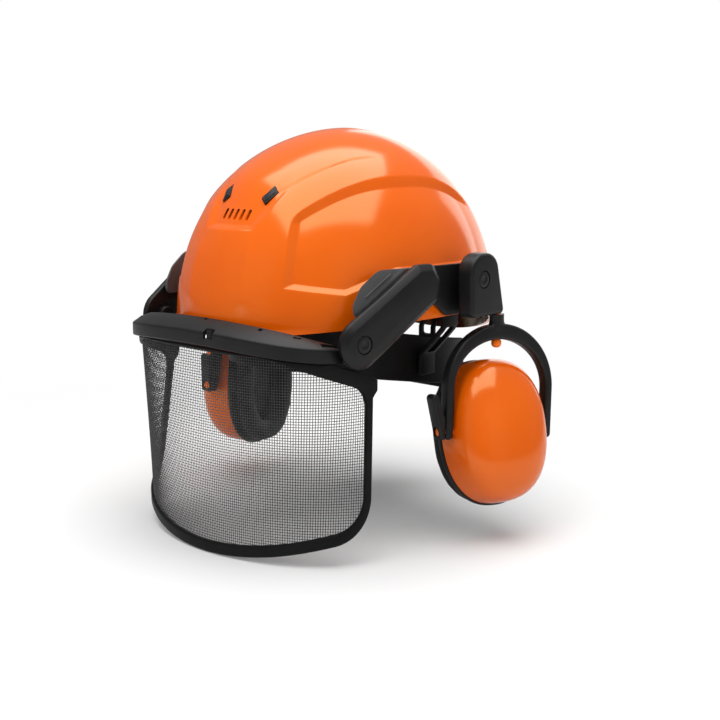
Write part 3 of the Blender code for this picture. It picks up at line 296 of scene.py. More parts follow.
def newFinish(name, fixed):  # a Principled material with its constant sockets set
    material = bpy.data.materials.new(name)
    material.use_nodes = True
    shader = material.node_tree.nodes["Principled BSDF"]
    for key, value in fixed.items():
        shader.inputs[key].default_value = value
    return material, Flow(material.node_tree), shader


def grain(flow, scale, detail=3.0, rough=0.55, stretch=None):  # noise over the piece's own metres
    where = flow.node("TexCoord", out="Object")
    if stretch:
        where = flow.node("Mapping", None, {"Vector": where, "Scale": stretch})
    settings = {"Vector": where, "Scale": scale, "Detail": detail, "Roughness": rough}
    return flow.node("TexNoise", None, settings)


def tones(flow, factor, low, high):
    return flow.node("ValToRGB", {"stops": [(0.3, low), (0.7, high)]}, {"Fac": factor})


def bumped(flow, shader, height, strength, depth):
    bump = flow.node("Bump", None, {"Height": height, "Strength": strength, "Distance": depth * mm})
    bump.to(shader.inputs["Normal"])


def glossyOrange(name, low, high, roughness, inside=None):  # inside: painted shade, a darker colour for the dome's inner face where shade falls
    material, flow, shader = newFinish(name, {"IOR": 1.6, "Specular Tint": (1.0, 0.95, 0.5, 1)})
    cloud = grain(flow, 14, 2)
    colour = tones(flow, cloud, low, high)
    # painted shade: faces turned towards the dome's centre take the darker inside colour
    if inside:
        facing = flow.node("VectorMath", {"operation": "DOT_PRODUCT"}, {
            0: flow.node("NewGeometry", out="Normal"), 1: flow.node("TexCoord", out="Object")}, "Value")
        hollowShadeMask = flow.node("MapRange", None, {"Value": facing, "From Min": 0.0, "From Max": -0.02})
        colour = flow.node("Mix", {"data_type": "RGBA"}, {0: hollowShadeMask, 6: colour, 7: (*inside, 1)}, 2)
    colour.to(shader.inputs["Base Color"])
    handling = grain(flow, 55, 5, 0.65)
    (roughness + 0.08 * handling).to(shader.inputs["Roughness"])
    bumped(flow, shader, grain(flow, 260, 2) + 0.25 * grain(flow, 1500, 1), 0.05, 0.12)
    return material


def mouldedBlack(name, low, high, roughness, texture, shine, rear=None):  # rear: painted shade, a darker colour behind the arms where they shade the bracket
    material, flow, shader = newFinish(name, {"IOR": 1.46, "Specular IOR Level": shine})
    cloud = grain(flow, 40, 4)
    colour = tones(flow, cloud, low, high)
    # painted shade: towards the rear, past the arm, the colour blends into the darker rear colour
    if rear:
        along = flow.node("SeparateXYZ", None, {0: flow.node("TexCoord", out="Object")}, "Y")
        armShadeMask = flow.node("MapRange", None, {"Value": along, "From Min": -0.045, "From Max": -0.035})
        colour = flow.node("Mix", {"data_type": "RGBA"}, {0: armShadeMask, 6: colour, 7: (*rear, 1)}, 2)
    colour.to(shader.inputs["Base Color"])
    fine = grain(flow, 2600, 2, 0.6)
    (roughness + 0.14 * cloud - 0.05 * fine).to(shader.inputs["Roughness"])
    bumped(flow, shader, fine + 0.4 * grain(flow, 700, 2), texture, 0.1)
    return material


def leatherette(name, low, high):
    material, flow, shader = newFinish(name, {"IOR": 1.45, "Specular IOR Level": 0.25, "Sheen Weight": 0.03})
    where = flow.node("TexCoord", out="Object")
    cells = flow.node("TexVoronoi", {"feature": "DISTANCE_TO_EDGE"}, {"Vector": where, "Scale": 620.0})
    cloud = grain(flow, 70, 4)
    tones(flow, cloud, low, high).to(shader.inputs["Base Color"])
    (0.5 + 0.16 * cloud).to(shader.inputs["Roughness"])
    bumped(flow, shader, cells + 0.3 * cloud, 0.35, 0.25)
    return material


def openFoam(name, low, high):
    material, flow, shader = newFinish(name, {"Roughness": 0.95})
    pores = grain(flow, 900, 3, 0.7)
    tones(flow, pores, low, high).to(shader.inputs["Base Color"])
    bumped(flow, shader, pores, 0.8, 0.6)
    return material


def wovenTape(name, low, high):
    material, flow, shader = newFinish(name, {"Roughness": 0.82, "Sheen Weight": 0.25})
    where = flow.node("TexCoord", out="Object")
    twill = {"wave_type": "BANDS", "bands_direction": "DIAGONAL"}
    bands = flow.node("TexWave", twill, {"Vector": where, "Scale": 330.0, "Distortion": 1.5})
    cross = flow.node("TexWave", {"bands_direction": "Z"}, {"Vector": where, "Scale": 420.0})
    weave = bands * cross + 0.3 * grain(flow, 1300, 2)
    tones(flow, weave, low, high).to(shader.inputs["Base Color"])
    bumped(flow, shader, weave, 0.5, 0.3)
    return material


def wire(name, low, high, roughness):
    material, flow, shader = newFinish(name, {"Metallic": 0.0, "IOR": 1.5})
    cloud = grain(flow, 160, 3)
    tones(flow, cloud, low, high).to(shader.inputs["Base Color"])
    (roughness + 0.12 * cloud).to(shader.inputs["Roughness"])
    return material


def turnedSteel(name, low, high):
    material, flow, shader = newFinish(name, {"Metallic": 1.0})
    lathe = grain(flow, 500, 2, 0.5, (8, 1, 1))
    tones(flow, lathe, low, high).to(shader.inputs["Base Color"])
    (0.28 + 0.15 * lathe).to(shader.inputs["Roughness"])
    return material


orange = (0.66, 0.090, 0.001), (0.70, 0.106, 0.001)  # deepest and lightest of the plastic
finishes = {
    # the shell's last colour is painted shade for the inside of the dome
    "shell": glossyOrange("shell_orange", *orange, 0.12, (0.08, 0.008, 0.001)),
    "cup": glossyOrange("cup_orange", *orange, 0.12),
    "pin": glossyOrange("pin_orange", (0.82, 0.130, 0.004), (0.88, 0.170, 0.008), 0.28),
    "black": mouldedBlack("moulded_black", (0.0045, 0.0045, 0.005), (0.008, 0.008, 0.0085), 0.36, 0.22, 0.3),
    # wing: the black plastic painted lighter for the light on the wing's face (painted light), and darker
    # behind the arms (painted shade)
    "wingPaintedLightShade": mouldedBlack("wing_black_painted_light_shade", (0.055, 0.055, 0.057), (0.075, 0.075, 0.077), 0.42, 0.22, 0.4,
                         (0.003, 0.003, 0.0032)),
    "rim": mouldedBlack("rim_black", (0.003, 0.003, 0.0033), (0.006, 0.006, 0.0065), 0.42, 0.15, 0.14),
    "trim": mouldedBlack("button_black", (0.006, 0.006, 0.0065), (0.010, 0.010, 0.0105), 0.32, 0.12, 0.3),
    "strapBlack": mouldedBlack("band_black", (0.003, 0.003, 0.0033), (0.006, 0.006, 0.0063), 0.46, 0.18,
                               0.18),
    "cover": leatherette("cushion_cover", (0.004, 0.004, 0.0045), (0.009, 0.009, 0.0095)),
    "foam": openFoam("cup_lining_foam", (0.008, 0.008, 0.009), (0.035, 0.035, 0.037)),
    "tape": wovenTape("grey_webbing", (0.22, 0.225, 0.235), (0.42, 0.43, 0.44)),
    "wire": wire("mesh_wire", (0.025, 0.025, 0.026), (0.05, 0.05, 0.052), 0.4),
    "steel": turnedSteel("pin_steel", (0.46, 0.46, 0.47), (0.62, 0.62, 0.63)),
}
print("finishes ready:", len(finishes))


# Shell

shell = {
    "front": 132, "back": 111, "halfWidth": 105, "height": 141, "wall": 2.5,
    "planPower": 0.93, "sidePower": 1.08, "crownPower": 0.82,
    "rimFront": 6, "rimEar": 14, "rimBack": -18, "lip": 2.5, "lipHeight": 4,
}
panel = {  # the pressed side field: angles from the front, heights, and its sloping bands
    "front": 28 * deg, "back": 128 * deg, "peak": 80 * deg, "bandFront": 4 * deg, "bandBack": 14 * deg,
    "bottom": 33, "kink": 50 * deg, "frontRise": 5, "backRise": 40, "bottomBand": 4.8, "bottomMost": 46,
    "top": 109, "band": 6.5, "depth": 3.5, "frontDrop": 25.3, "frontPower": 2.5, "backDrop": 23.2,
    "backPower": 2.4,
}
scoop = {  # the recess between the vents, wider towards its top
    "halfAngle": 7 * deg, "edge": 6 * deg, "spread": 0.4 * deg, "foot": 73.5, "band": 5, "depth": 2.6,
    "fadeFrom": 88, "fadeTo": 112,
}
ridge = {"angle": 13 * deg, "spread": 3.6 * deg, "height": 0.9, "low": 18, "high": 70}
crease = {"from": 17 * deg, "peak": 66 * deg, "start": 98.5, "rise": 23, "depth": 0.75, "reach": 6}
slots = {"count": 5, "pitch": 5.6, "width": 2.6, "height": 7, "rise": 83.5}
vent = {
    "angle": 14 * deg, "rise": 97.5, "length": 12.6, "width": 7.2, "turn": 55 * deg, "sink": 1.0,
    "thick": 2.0,
}


def shellLevel(z):
    return math.asin(min(1, max(0, z) / shell["height"]) ** (1 / shell["crownPower"]))


def shellPoint(angle, z, depth=0.0):  # on the dome's outer face, sunk by depth
    reach = math.cos(shellLevel(z)) ** shell["sidePower"]
    across, along = math.sin(angle), math.cos(angle)
    length = shell["front"] if along > 0 else shell["back"]
    x = shell["halfWidth"] * reach * math.copysign(abs(across) ** shell["planPower"], across)
    y = -length * reach * math.copysign(abs(along) ** shell["planPower"], along)
    normal = Vector((x / shell["halfWidth"] ** 2, y / length ** 2, max(z, 0) / shell["height"] ** 2))
    return Vector((x, y, z)) - normal.normalized() * depth


def rimHeight(angle):
    if angle < 90 * deg:
        return shell["rimFront"] + (shell["rimEar"] - shell["rimFront"]) * math.sin(angle) ** 2
    return shell["rimEar"] + (shell["rimBack"] - shell["rimEar"]) * math.sin(angle - 90 * deg) ** 2


def panelTop(angle):
    angle = clamp(angle, panel["front"], panel["back"])
    if angle < panel["peak"]:
        share = (panel["peak"] - angle) / (panel["peak"] - panel["front"])
        return panel["top"] - panel["frontDrop"] * share ** panel["frontPower"]
    share = (angle - panel["peak"]) / (panel["back"] - panel["peak"])
    return panel["top"] - panel["backDrop"] * share ** panel["backPower"]


def panelBottom(angle):
    angle = clamp(angle, panel["front"], panel["back"])
    if angle < panel["kink"]:
        rise = panel["frontRise"] * (panel["kink"] - angle) / (panel["kink"] - panel["front"])
        return panel["bottom"] + rise
    return min(panel["bottomMost"], panel["bottom"] + panel["backRise"] * (angle - panel["kink"]))


def pressed(angle, z):  # how deep the dome is pressed in at a place
    across = min((angle - panel["front"]) / panel["bandFront"], (panel["back"] - angle) / panel["bandBack"])
    upward = min((z - panelBottom(angle)) / panel["bottomBand"], (panelTop(angle) - z) / panel["band"])
    corner = math.hypot(max(0, 1 - across), max(0, 1 - upward)) if z > 60 else 1 - min(across, upward)
    depth = panel["depth"] * ease(1 - corner)
    half = scoop["halfAngle"] + scoop["spread"] * (z - scoop["foot"])
    inScoop = min((half + scoop["edge"] - angle) / scoop["edge"], (z - scoop["foot"]) / scoop["band"])
    fade = 1 - smooth((z - scoop["fadeFrom"]) / (scoop["fadeTo"] - scoop["fadeFrom"]))
    depth += scoop["depth"] * ease(inScoop) * fade
    swell = math.exp(-((angle - ridge["angle"]) / ridge["spread"]) ** 2)
    depth -= ridge["height"] * swell * smooth((z - ridge["low"]) / 12) * smooth((ridge["high"] - z) / 12)
    along = clamp((crease["peak"] - angle) / (crease["peak"] - crease["from"]), 0, 2)
    below = crease["start"] + crease["rise"] * (1 - along ** 2) - z
    if below > 0:
        shown = smooth((angle - crease["from"]) / (3 * deg))
        shown *= smooth((crease["peak"] + 8 * deg - angle) / (14 * deg))
        depth += crease["depth"] * shown * math.exp(-below / crease["reach"]) * smooth(below / 0.7)
    return depth


bandShares = [0.05, 0.14, 0.3, 0.5, 0.7, 0.86, 0.95, 1]


def shellColumn(angle):  # from the inside of the crown down to the rim and up the outside
    rimZ, top, bottom = rimHeight(angle), panelTop(angle), panelBottom(angle)
    lip = shell["lip"] * max(0, math.cos(2 * angle))
    rows = [(rimZ + shell["lipHeight"] * t, -lip * (1 - t) ** 1.5) for t in spaced(0, 1, 6)]
    marks = [rimZ + shell["lipHeight"], bottom, bottom + panel["bottomBand"],
             top - panel["band"] - scoop["band"]]
    marks += [top - panel["band"], top]
    splits = [spaced(0, 1, 15)[1:], bandShares, spaced(0, 1, 25)[1:], bandShares, bandShares]
    heights = []
    for low, high, shares in zip(marks, marks[1:], splits):
        heights += [low + (high - low) * s for s in shares]
    for level in spaced(shellLevel(top), 90 * deg, 90)[1:]:
        heights.append(shell["height"] * math.sin(level) ** shell["crownPower"])
    rows += [(z, pressed(angle, z)) for z in heights]
    inside = [shellPoint(angle, z, shell["wall"] + max(depth, 0)) for z, depth in reversed(rows)]
    return inside + [shellPoint(angle, z, depth) for z, depth in rows]


def shellAngles():
    edges = [0, scoop["halfAngle"], scoop["halfAngle"] + scoop["edge"], panel["front"]]
    edges += [panel["front"] + panel["bandFront"], panel["back"] - panel["bandBack"], panel["back"], math.pi]
    splits = [spaced(0, 1, 9)[1:], bandShares, spaced(0, 1, 15)[1:], bandShares]
    splits += [spaced(0, 1, 61)[1:], bandShares, spaced(0, 1, 37)[1:]]
    angles = [0.0]
    for low, high, shares in zip(edges, edges[1:], splits):
        angles += [low + (high - low) * s for s in shares]
    return angles


def ventPlace(side):  # Z out of the dome, X along the diamond
    place = shellPoint(side * vent["angle"], vent["rise"])
    out = (place - shellPoint(side * vent["angle"], vent["rise"], 1)).normalized()
    level = Vector((0, 0, 1)).cross(out).normalized()
    turn = Matrix((level, out.cross(level), out)).transposed().to_4x4()
    return Matrix.Translation(place) @ turn @ Matrix.Rotation(side * vent["turn"], 4, "Z")


def ventOutline(clear, side):
    a, b, lean = vent["length"] / 2 - clear, vent["width"] / 2 - clear, 0.15 * vent["width"]
    corners = [(-a - lean, -b, 0.6), (a - lean, -b, 0.6), (a + lean, b, 0.6), (-a + lean, b, 0.6)]
    outline = rounded(corners, 15 * deg)
    return outline if side > 0 else [(-p[0], p[1]) for p in outline]


def makeShell():
    left = [shellColumn(a) for a in shellAngles()]
    right = [[Vector((-p.x, p.y, p.z)) for p in column] for column in left[-2:0:-1]]
    obj = bare("helmetShell", welded(skin("helmetShell", left + right, closeRows=True, flip=True)))
    cutters, deep = [], 12
    face = shellPoint(0, slots["rise"]).y
    for i in range(slots["count"]):
        x = (i - (slots["count"] - 1) / 2) * slots["pitch"]
        w, h = slots["width"] / 2, slots["height"] / 2
        outline = tile((x - w, -h), (x + w, h), 0.9, 18 * deg)
        upright = Matrix.Translation((0, face, slots["rise"])) @ Matrix.Rotation(90 * deg, 4, "X")
        cutters.append(slab("slot", outline, -deep, deep, 0.3, upright, 2))
    for name, side in sides.items():
        cutters.append(slab("ventCut", ventOutline(0, side), -deep, deep, 0.3, ventPlace(side), 2))
    carve(obj, cutters)
    dress(obj, finishes["shell"], "helmet", ["shell"], 40)
    for name, side in sides.items():
        plate = slab("ventPlate", ventOutline(0.4, side), -vent["sink"] - vent["thick"], -vent["sink"], 0.3,
                     ventPlace(side), 2)
        insert = bare(f"ventInsert_{name}", plate)
        pad = slab("ventPad", ventOutline(1.7, side), -vent["sink"] - 0.4, -vent["sink"] + 0.5, 0.4,
                   ventPlace(side), 3)
        carve(insert, [pad], "UNION")
        dress(insert, finishes["trim"], "helmet", [f"vent_insert_{name}"])
    return obj


makeShell()
print("shell ready")


# Visor: carrier, rim and woven mesh

visor = {
    "topHalf": 97.8, "topFront": 146.5, "topBack": 79.5, "topPower": 2.7,
    "lowHalf": 111, "lowFront": 143.5, "lowBack": 96.5, "lowPower": 2, "lowSweep": 35 * deg,
    "drop": 153, "cornerDrop": 122.5, "cornerRadius": 33, "footRadius": 400,
}
rim = {
    "width": 7.3, "sideWidth": 5.8, "thick": 4.4, "topBar": 2.5, "tab": 4, "endDrop": 10, "tabHigh": 19.5,
    "tabLow": 29, "shoulder": 62, "shoulderRound": 70, "gussetDrop": 24, "gussetRound": 15,
}
weave = {"pitch": 1.85, "wire": 0.46}
carrier = {
    "halfWidth": 96.5, "front": 150.5, "power": 3, "pinch": 3.5, "ridge": 10.4, "face": 9.8, "droop": 10.5,
    "shelf": 14, "shelfEnd": 5, "rise": 6.2, "wall": 2.4, "lugRadius": 6, "lugLength": 6,
}

carrierCuts = [  # share along the carrier, (length, width), place inward, and depth from low to high
    (0.13, (9, 5), 1.4, -4.6, 5), (0.42, (3, 3), 11, -4, 12), (0.86, (14, 2.6), 4, -2.4, 12),
    (-0.6, (7, 2.8), 6, -2.4, 12), (0.02, (3, 2), 12, 1, 12), (0.66, (5, 1.6), 9, 0.5, 12),
]


def planCurve(halfWidth, front, back, power, sweep=90 * deg):  # share -1 at the right end, 1 at the left
    wide, near = math.sin(sweep) ** (2 / power), math.cos(sweep) ** (2 / power)
    points = []
    for turn in spaced(-sweep, sweep, 721):
        across = math.copysign(abs(math.sin(turn)) ** (2 / power), turn) / wide
        along = (abs(math.cos(turn)) ** (2 / power) - near) / (1 - near)
        points.append(Vector((halfWidth * across, -back - (front - back) * along, 0)))
    walked = [0.0]
    for before, after in zip(points, points[1:]):
        walked.append(walked[-1] + (after - before).length)

    def at(share):
        target = clamp((share + 1) / 2) * walked[-1]
        low, high = 0, len(walked) - 1
        while high - low > 1:
            half = (low + high) // 2
            low, high = (half, high) if walked[half] <= target else (low, half)
        mix = (target - walked[low]) / max(walked[high] - walked[low], 1e-9)
        past = max(abs(share) - 1, 0) * walked[-1] / 2
        end = points[-1] - points[-2] if share > 0 else points[0] - points[1]
        return points[low].lerp(points[high], mix) + past * end.normalized()

    return at, walked[-1] / 2


topCurve, sheetHalf = planCurve(visor["topHalf"], visor["topFront"], visor["topBack"], visor["topPower"])
lowCurve = planCurve(visor["lowHalf"], visor["lowFront"], visor["lowBack"], visor["lowPower"],
                     visor["lowSweep"])[0]


def sheetPoint(across, z, out=0.0):  # on the visor's ruled sheet, lifted by out along its normal
    def at(a, height):
        mix = clamp(-height / visor["drop"])
        return topCurve(a / sheetHalf).lerp(lowCurve(a / sheetHalf), mix) + Vector((0, 0, height))

    place = at(across, z)
    if not out:
        return place
    along = at(across + 0.5, z) - at(across - 0.5, z)
    upward = at(across, z + 0.5) - at(across, z - 0.5)
    return place + along.cross(upward).normalized() * out


def carrierDroop(share):
    return carrier["droop"] * share ** 2


def rimOutlines():  # outer and inner edge of the visor's rim, in the flat of the sheet
    half, drop, corner = sheetHalf, visor["drop"], visor["cornerDrop"]
    head = carrier["ridge"] - carrier["face"] - 1.2
    tops = [-half + 2 * half * k / 48 for k in range(49)]
    tops = [(a, head - carrierDroop(a / half) - rim["endDrop"] * (a / half) ** 8) for a in tops]
    outer = rounded(
        [(a, z, 0) for a, z in reversed(tops)][1:-1]
        + [(-half - rim["tab"], -rim["tabHigh"], 1.5), (-half - rim["tab"], -rim["tabLow"], 1.5)]
        + [(-half, -rim["tabLow"] - 1, 0), (-half, -corner, visor["cornerRadius"])]
        + [(0, -drop, visor["footRadius"]), (half, -corner, visor["cornerRadius"])]
        + [(half, -rim["tabLow"] - 1, 0), (half + rim["tab"], -rim["tabLow"], 1.5)]
        + [(half + rim["tab"], -rim["tabHigh"], 1.5)], 2 * deg)
    side, low = half - rim["sideWidth"], rim["width"] - corner
    innerTop, soft = head - rim["topBar"], visor["cornerRadius"] - rim["width"]
    inner = rounded([
        (rim["shoulder"], innerTop, rim["shoulderRound"]), (-rim["shoulder"], innerTop, rim["shoulderRound"]),
        (-side, innerTop - rim["gussetDrop"], rim["gussetRound"]), (-side, low, soft),
        (0, rim["width"] - drop, visor["footRadius"]),
        (side, low, soft), (side, innerTop - rim["gussetDrop"], rim["gussetRound"]),
    ], 2 * deg)
    return [Vector(p) for p in outer], [Vector(p) for p in inner]


def rayHit(outline, centre, turn):  # where a ray from the centre leaves an outline round it
    ray, best = Vector((math.cos(turn), math.sin(turn))), 0
    for i, start in enumerate(outline):
        begin = start - centre
        run = outline[(i + 1) % len(outline)] - start
        slant = ray.x * run.y - ray.y * run.x
        if abs(slant) < 1e-12:
            continue
        along = (begin.x * run.y - begin.y * run.x) / slant
        share = (begin.x * ray.y - begin.y * ray.x) / slant
        if -1e-9 <= share <= 1 + 1e-9:
            best = max(best, along)
    return centre + ray * best


def crossings(outline, across, axis):  # low and high place where a line of the weave meets an outline
    other, found = 1 - axis, []
    for i, start in enumerate(outline):
        end = outline[(i + 1) % len(outline)]
        if (start[axis] - across) * (end[axis] - across) <= 0 and start[axis] != end[axis]:
            mix = (across - start[axis]) / (end[axis] - start[axis])
            found.append(start[other] + (end[other] - start[other]) * mix)
    return (min(found), max(found)) if len(found) > 1 else None


def makeRim(outer, inner):
    centre = Vector((0, -visor["drop"] / 2))
    corner = 1.5
    rows = []
    for turn in [2 * math.pi * k / 320 for k in range(320)]:
        edges = [rayHit(outline, centre, turn) for outline in (inner, outer)]
        span = (edges[1] - edges[0]).length
        half = rim["thick"] / 2
        soft = min(corner, span * 0.45, half * 0.95)
        section = []
        for a, h, first in ((0, -1, 180), (1, -1, 270), (1, 1, 0), (0, 1, 90)):
            for step in spaced(first * deg, (first + 90) * deg, 4):
                middle = soft if a == 0 else span - soft
                section.append((middle + soft * math.cos(step), h * (half - soft) + soft * math.sin(step)))
        run = (edges[1] - edges[0]).normalized()
        rows.append([sheetPoint(*(edges[0] + run * s), h) for s, h in section])
    obj = bare("visorRim", skin("visorRim", rows, closeRows=True, closeColumns=True))
    return dress(obj, finishes["rim"], "visor", ["visor_frame"], 50)


def makeMesh(inner):  # every wire of the woven mesh, over and under its neighbours
    pitch, radius = weave["pitch"], weave["wire"] / 2
    centre = Vector((0, -visor["drop"] / 2))
    tucked = [p + (p - centre).normalized() * 1.6 for p in inner]
    points, faces = [], []

    def addWire(path):
        base = len(points)
        for i, (a, z, lift) in enumerate(path):
            here = sheetPoint(a, z, lift)
            ahead = sheetPoint(*path[min(i + 1, len(path) - 1)]) - sheetPoint(*path[max(i - 1, 0)])
            out = (sheetPoint(a, z, lift + 0.5) - here).normalized()
            beside = ahead.cross(out).normalized()
            for u, w in ((1, 0), (0, 1), (-1, 0), (0, -1)):
                points.append(here + beside * radius * u + out * radius * w)
            if i:
                last = base + 4 * (i - 1)
                faces.extend((last + k, last + (k + 1) % 4, last + 4 + (k + 1) % 4, last + 4 + k)
                             for k in range(4))

    reach = int(sheetHalf / pitch) + 1
    for i in range(-reach, reach + 1):
        span = crossings(tucked, i * pitch, 0)
        if span:
            rows = range(math.ceil(span[0] / pitch), math.floor(span[1] / pitch) + 1)
            heights = [(k * pitch, radius * (-1) ** (i + k)) for k in rows]
            heights = [(span[0], 0)] + heights + [(span[1], 0)]
            addWire([(i * pitch, z, lift) for z, lift in heights])
    for k in range(-int(visor["drop"] / pitch) - 1, 3):
        span = crossings(tucked, k * pitch, 1)
        if span:
            columns = range(math.ceil(span[0] / pitch), math.floor(span[1] / pitch) + 1)
            along = [(i * pitch, -radius * (-1) ** (i + k)) for i in columns]
            along = [(span[0], 0)] + along + [(span[1], 0)]
            addWire([(a, k * pitch, lift) for a, lift in along])
    obj = bare("visorWeave", meshFrom("visorWeave", points, faces))
    print("weave faces:", len(faces))
    return dress(obj, finishes["wire"], "visor", ["visor_mesh"], 80)


def makeCarrier():
    pivot = jointAt["visor_tilt"]
    path = planCurve(carrier["halfWidth"], carrier["front"], -pivot.y, carrier["power"])[0]
    rows = []
    for share in spaced(-1, 1, 241):
        ridgeAt = path(share)
        run = (path(min(share + 0.01, 1)) - path(max(share - 0.01, -1))).normalized()
        inward = Vector((-run.y, run.x, 0))
        ridgeAt.x -= carrier["pinch"] * share ** 3
        shelf = carrier["shelf"] + (carrier["shelfEnd"] - carrier["shelf"]) * share ** 4
        rise = carrier["rise"] * (1 - share ** 4)
        z = carrier["ridge"] - carrierDroop(share)
        wall = carrier["wall"]
        skinOut = [(shelf - 0.6, rise + 0.1), (shelf / 2, rise / 2 + 0.8), (1.6, 0.2), (0.7, -0.35),
                   (0.1, -1.1), (0, -2), (0, -carrier["face"] + 0.6), (0.5, -carrier["face"])]
        skinIn = [(wall - 0.5, -carrier["face"]), (wall, -carrier["face"] + 0.6), (wall, -3.2),
                  (wall + 0.8, -wall), (shelf / 2 + 0.4, rise / 2 + 0.8 - wall),
                  (shelf - 0.4, rise - wall + 0.4), (shelf, rise - wall + 1), (shelf, rise - 0.5)]
        rows.append([ridgeAt + inward * a + Vector((0, 0, z + h)) for a, h in skinOut + skinIn])
    mesh = skin("visorCarrier", rows, closeColumns=True, capEnds=True)
    obj = bare("visorCarrier", mesh)
    lugs = []
    for side in sides.values():
        place = sideFrame(side, (abs(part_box("visor_carrier")[1].x / mm) - 3.2, pivot.y, pivot.z))
        lugs.append(slab("lug", circle(carrier["lugRadius"], 36), -carrier["lugLength"], 2.6, 0.8,
                         place @ outward(side), 3))
    carve(obj, lugs, "UNION")

    def onRidge(share):  # X along the carrier, Y inward, Z up
        run = (path(share + 0.01) - path(share - 0.01)).normalized()
        shift = Vector((-carrier["pinch"] * share ** 3, 0, carrier["ridge"] - carrierDroop(share)))
        turn = Matrix((run, Vector((-run.y, run.x, 0)), Vector((0, 0, 1)))).transposed().to_4x4()
        return Matrix.Translation(path(share) + shift) @ turn

    cuts = []
    for share, size, inward, low, high in carrierCuts:
        a, b = size[0] / 2, size[1] / 2
        hole = tile((-a, inward - b), (a, inward + b), min(a, b) * 0.6)
        cuts.append(slab("hole", hole, low, high, 0.2, onRidge(share), 2))
    carve(obj, cuts)
    clip = tile((-2.4, 1.2), (2.4, 3.4), 0.5)
    carve(obj, [slab("clip", clip, -7.5, 0.6, 0.4, onRidge(carrierCuts[0][0]), 2)], "UNION")
    return dress(obj, finishes["black"], "visor", ["visor_carrier"], 38)


outerEdge, innerEdge = rimOutlines()
makeRim(outerEdge, innerEdge)
makeMesh(innerEdge)
makeCarrier()
print("visor ready")


# Side brackets, visor arms and ear blocks

bracket = {
    "yaw": 9 * deg, "thick": 2.5, "stand": 1, "restY": -8, "low": 20, "back": 22, "top": 50, "reach": 53.5,
    "tipDrop": 14, "skirt": 5, "wingFrom": 14.5, "wingTo": 28.5, "wingEdge": 0.7, "ribAt": 19.5,
    "ribFrom": -38, "ribTo": -12,
}
arm = {
    "thick": 7.4, "stand": 3.2, "hingeRadius": 15.5, "pivotRadius": 16.5, "edge": 1.6, "endTop": 3.9,
    "endBack": 8.2, "endRound": 4.9, "button": 5.6, "seat": 6.2, "dimple": 3,
    # the chamfer's profile in steps inward and below the face
    "chamfer": [(0, 3.7), (0.12, 3.25), (0.5, 2.85), (3.9, 0.3), (4.2, 0.1), (4.6, 0)],
}
block = {
    "top": 17.5, "front": 14, "back": 14.5, "round": 13, "footBack": 25.2, "footZ": 14.3, "thick": 13,
    "stand": 2, "edge": 2.6,
}
hingeAt, tiltAt = jointAt["visor_lift"], jointAt["visor_tilt"]


def bracketOut(y):
    return shell["halfWidth"] + bracket["stand"] + (y - bracket["restY"]) * math.tan(bracket["yaw"])


def bracketFrame(side):  # on the bracket's inner face, at the arm's hinge
    return sideFrame(side, (bracketOut(hingeAt.y), hingeAt.y, hingeAt.z), bracket["yaw"])


def makeBrackets():
    low, top = bracket["low"] - hingeAt.z, bracket["top"] - hingeAt.z
    back = bracket["back"] - hingeAt.y
    tip = -math.sqrt(bracket["reach"] ** 2 - bracket["tipDrop"] ** 2)
    outline = rounded([
        (back, low - bracket["skirt"], 4), (back, top, 10), (0.6 * tip, top, 16), (0.88 * tip, top - 10, 9),
        (tip, 6 - bracket["tipDrop"], 5), (tip, low, 5), (5, low, 5), (11, low + 4.5, 5), (19, low + 3, 5),
        (28, low - bracket["skirt"], 4),
    ], 5 * deg)
    slope = math.atan2(hingeAt.z - tiltAt.z, hingeAt.y - tiltAt.y)
    drop = bracket["thick"] - bracket["wingEdge"]
    wingTilt = math.atan2(drop, bracket["wingTo"] - bracket["wingFrom"])
    for name, side in sides.items():
        place = bracketFrame(side) @ outward(side)
        obj = bare(f"sideWing_{name}", slab("sideWing", outline, 0, bracket["thick"], 0.9, place, 4))
        along = place @ Matrix.Rotation(slope, 4, "Z")  # X along the visor arm, Y across it
        lean = along @ Matrix.Translation((0, bracket["wingFrom"], bracket["thick"]))
        lean = lean @ Matrix.Rotation(-wingTilt, 4, "X")
        face = [(-90, 0), (12, 0), (12, 40), (-90, 40)]
        carve(obj, [slab("wingFace", face, 0, 12, 0.01, lean, 1)])
        rib = tile((bracket["ribFrom"], -0.6), (bracket["ribTo"], 0.6), 0.5)
        up = along @ Matrix.Translation((0, bracket["ribAt"], 0))
        carve(obj, [slab("wingRib", rib, 0.6, bracket["thick"] + 0.1, 0.35, up, 3)], "UNION")
        # the wing's finish carries painted light on its face and painted shade behind the arm
        dress(obj, finishes["wingPaintedLightShade"], "helmet", [f"side_bracket_{name}"])


def sinkSeat(holder, at, top, place):  # the round seat for a button
    return carve(holder, [slab("seat", circle(arm["seat"], 48, at), top - 2, top + 20, 0.2, place, 2)])


def makeButton(name, at, top, place, body, node):  # a disc just under its holder's face, with a dimple
    obj = bare(name, slab("button", circle(arm["button"], 48, at), top - 1.7, top - 0.15, 0.5, place, 3))
    carve(obj, [slab("dimple", circle(arm["dimple"], 40, at), top - 0.6, top + 9, 0.2, place, 2)])
    dress(obj, finishes["trim"], body, [node])


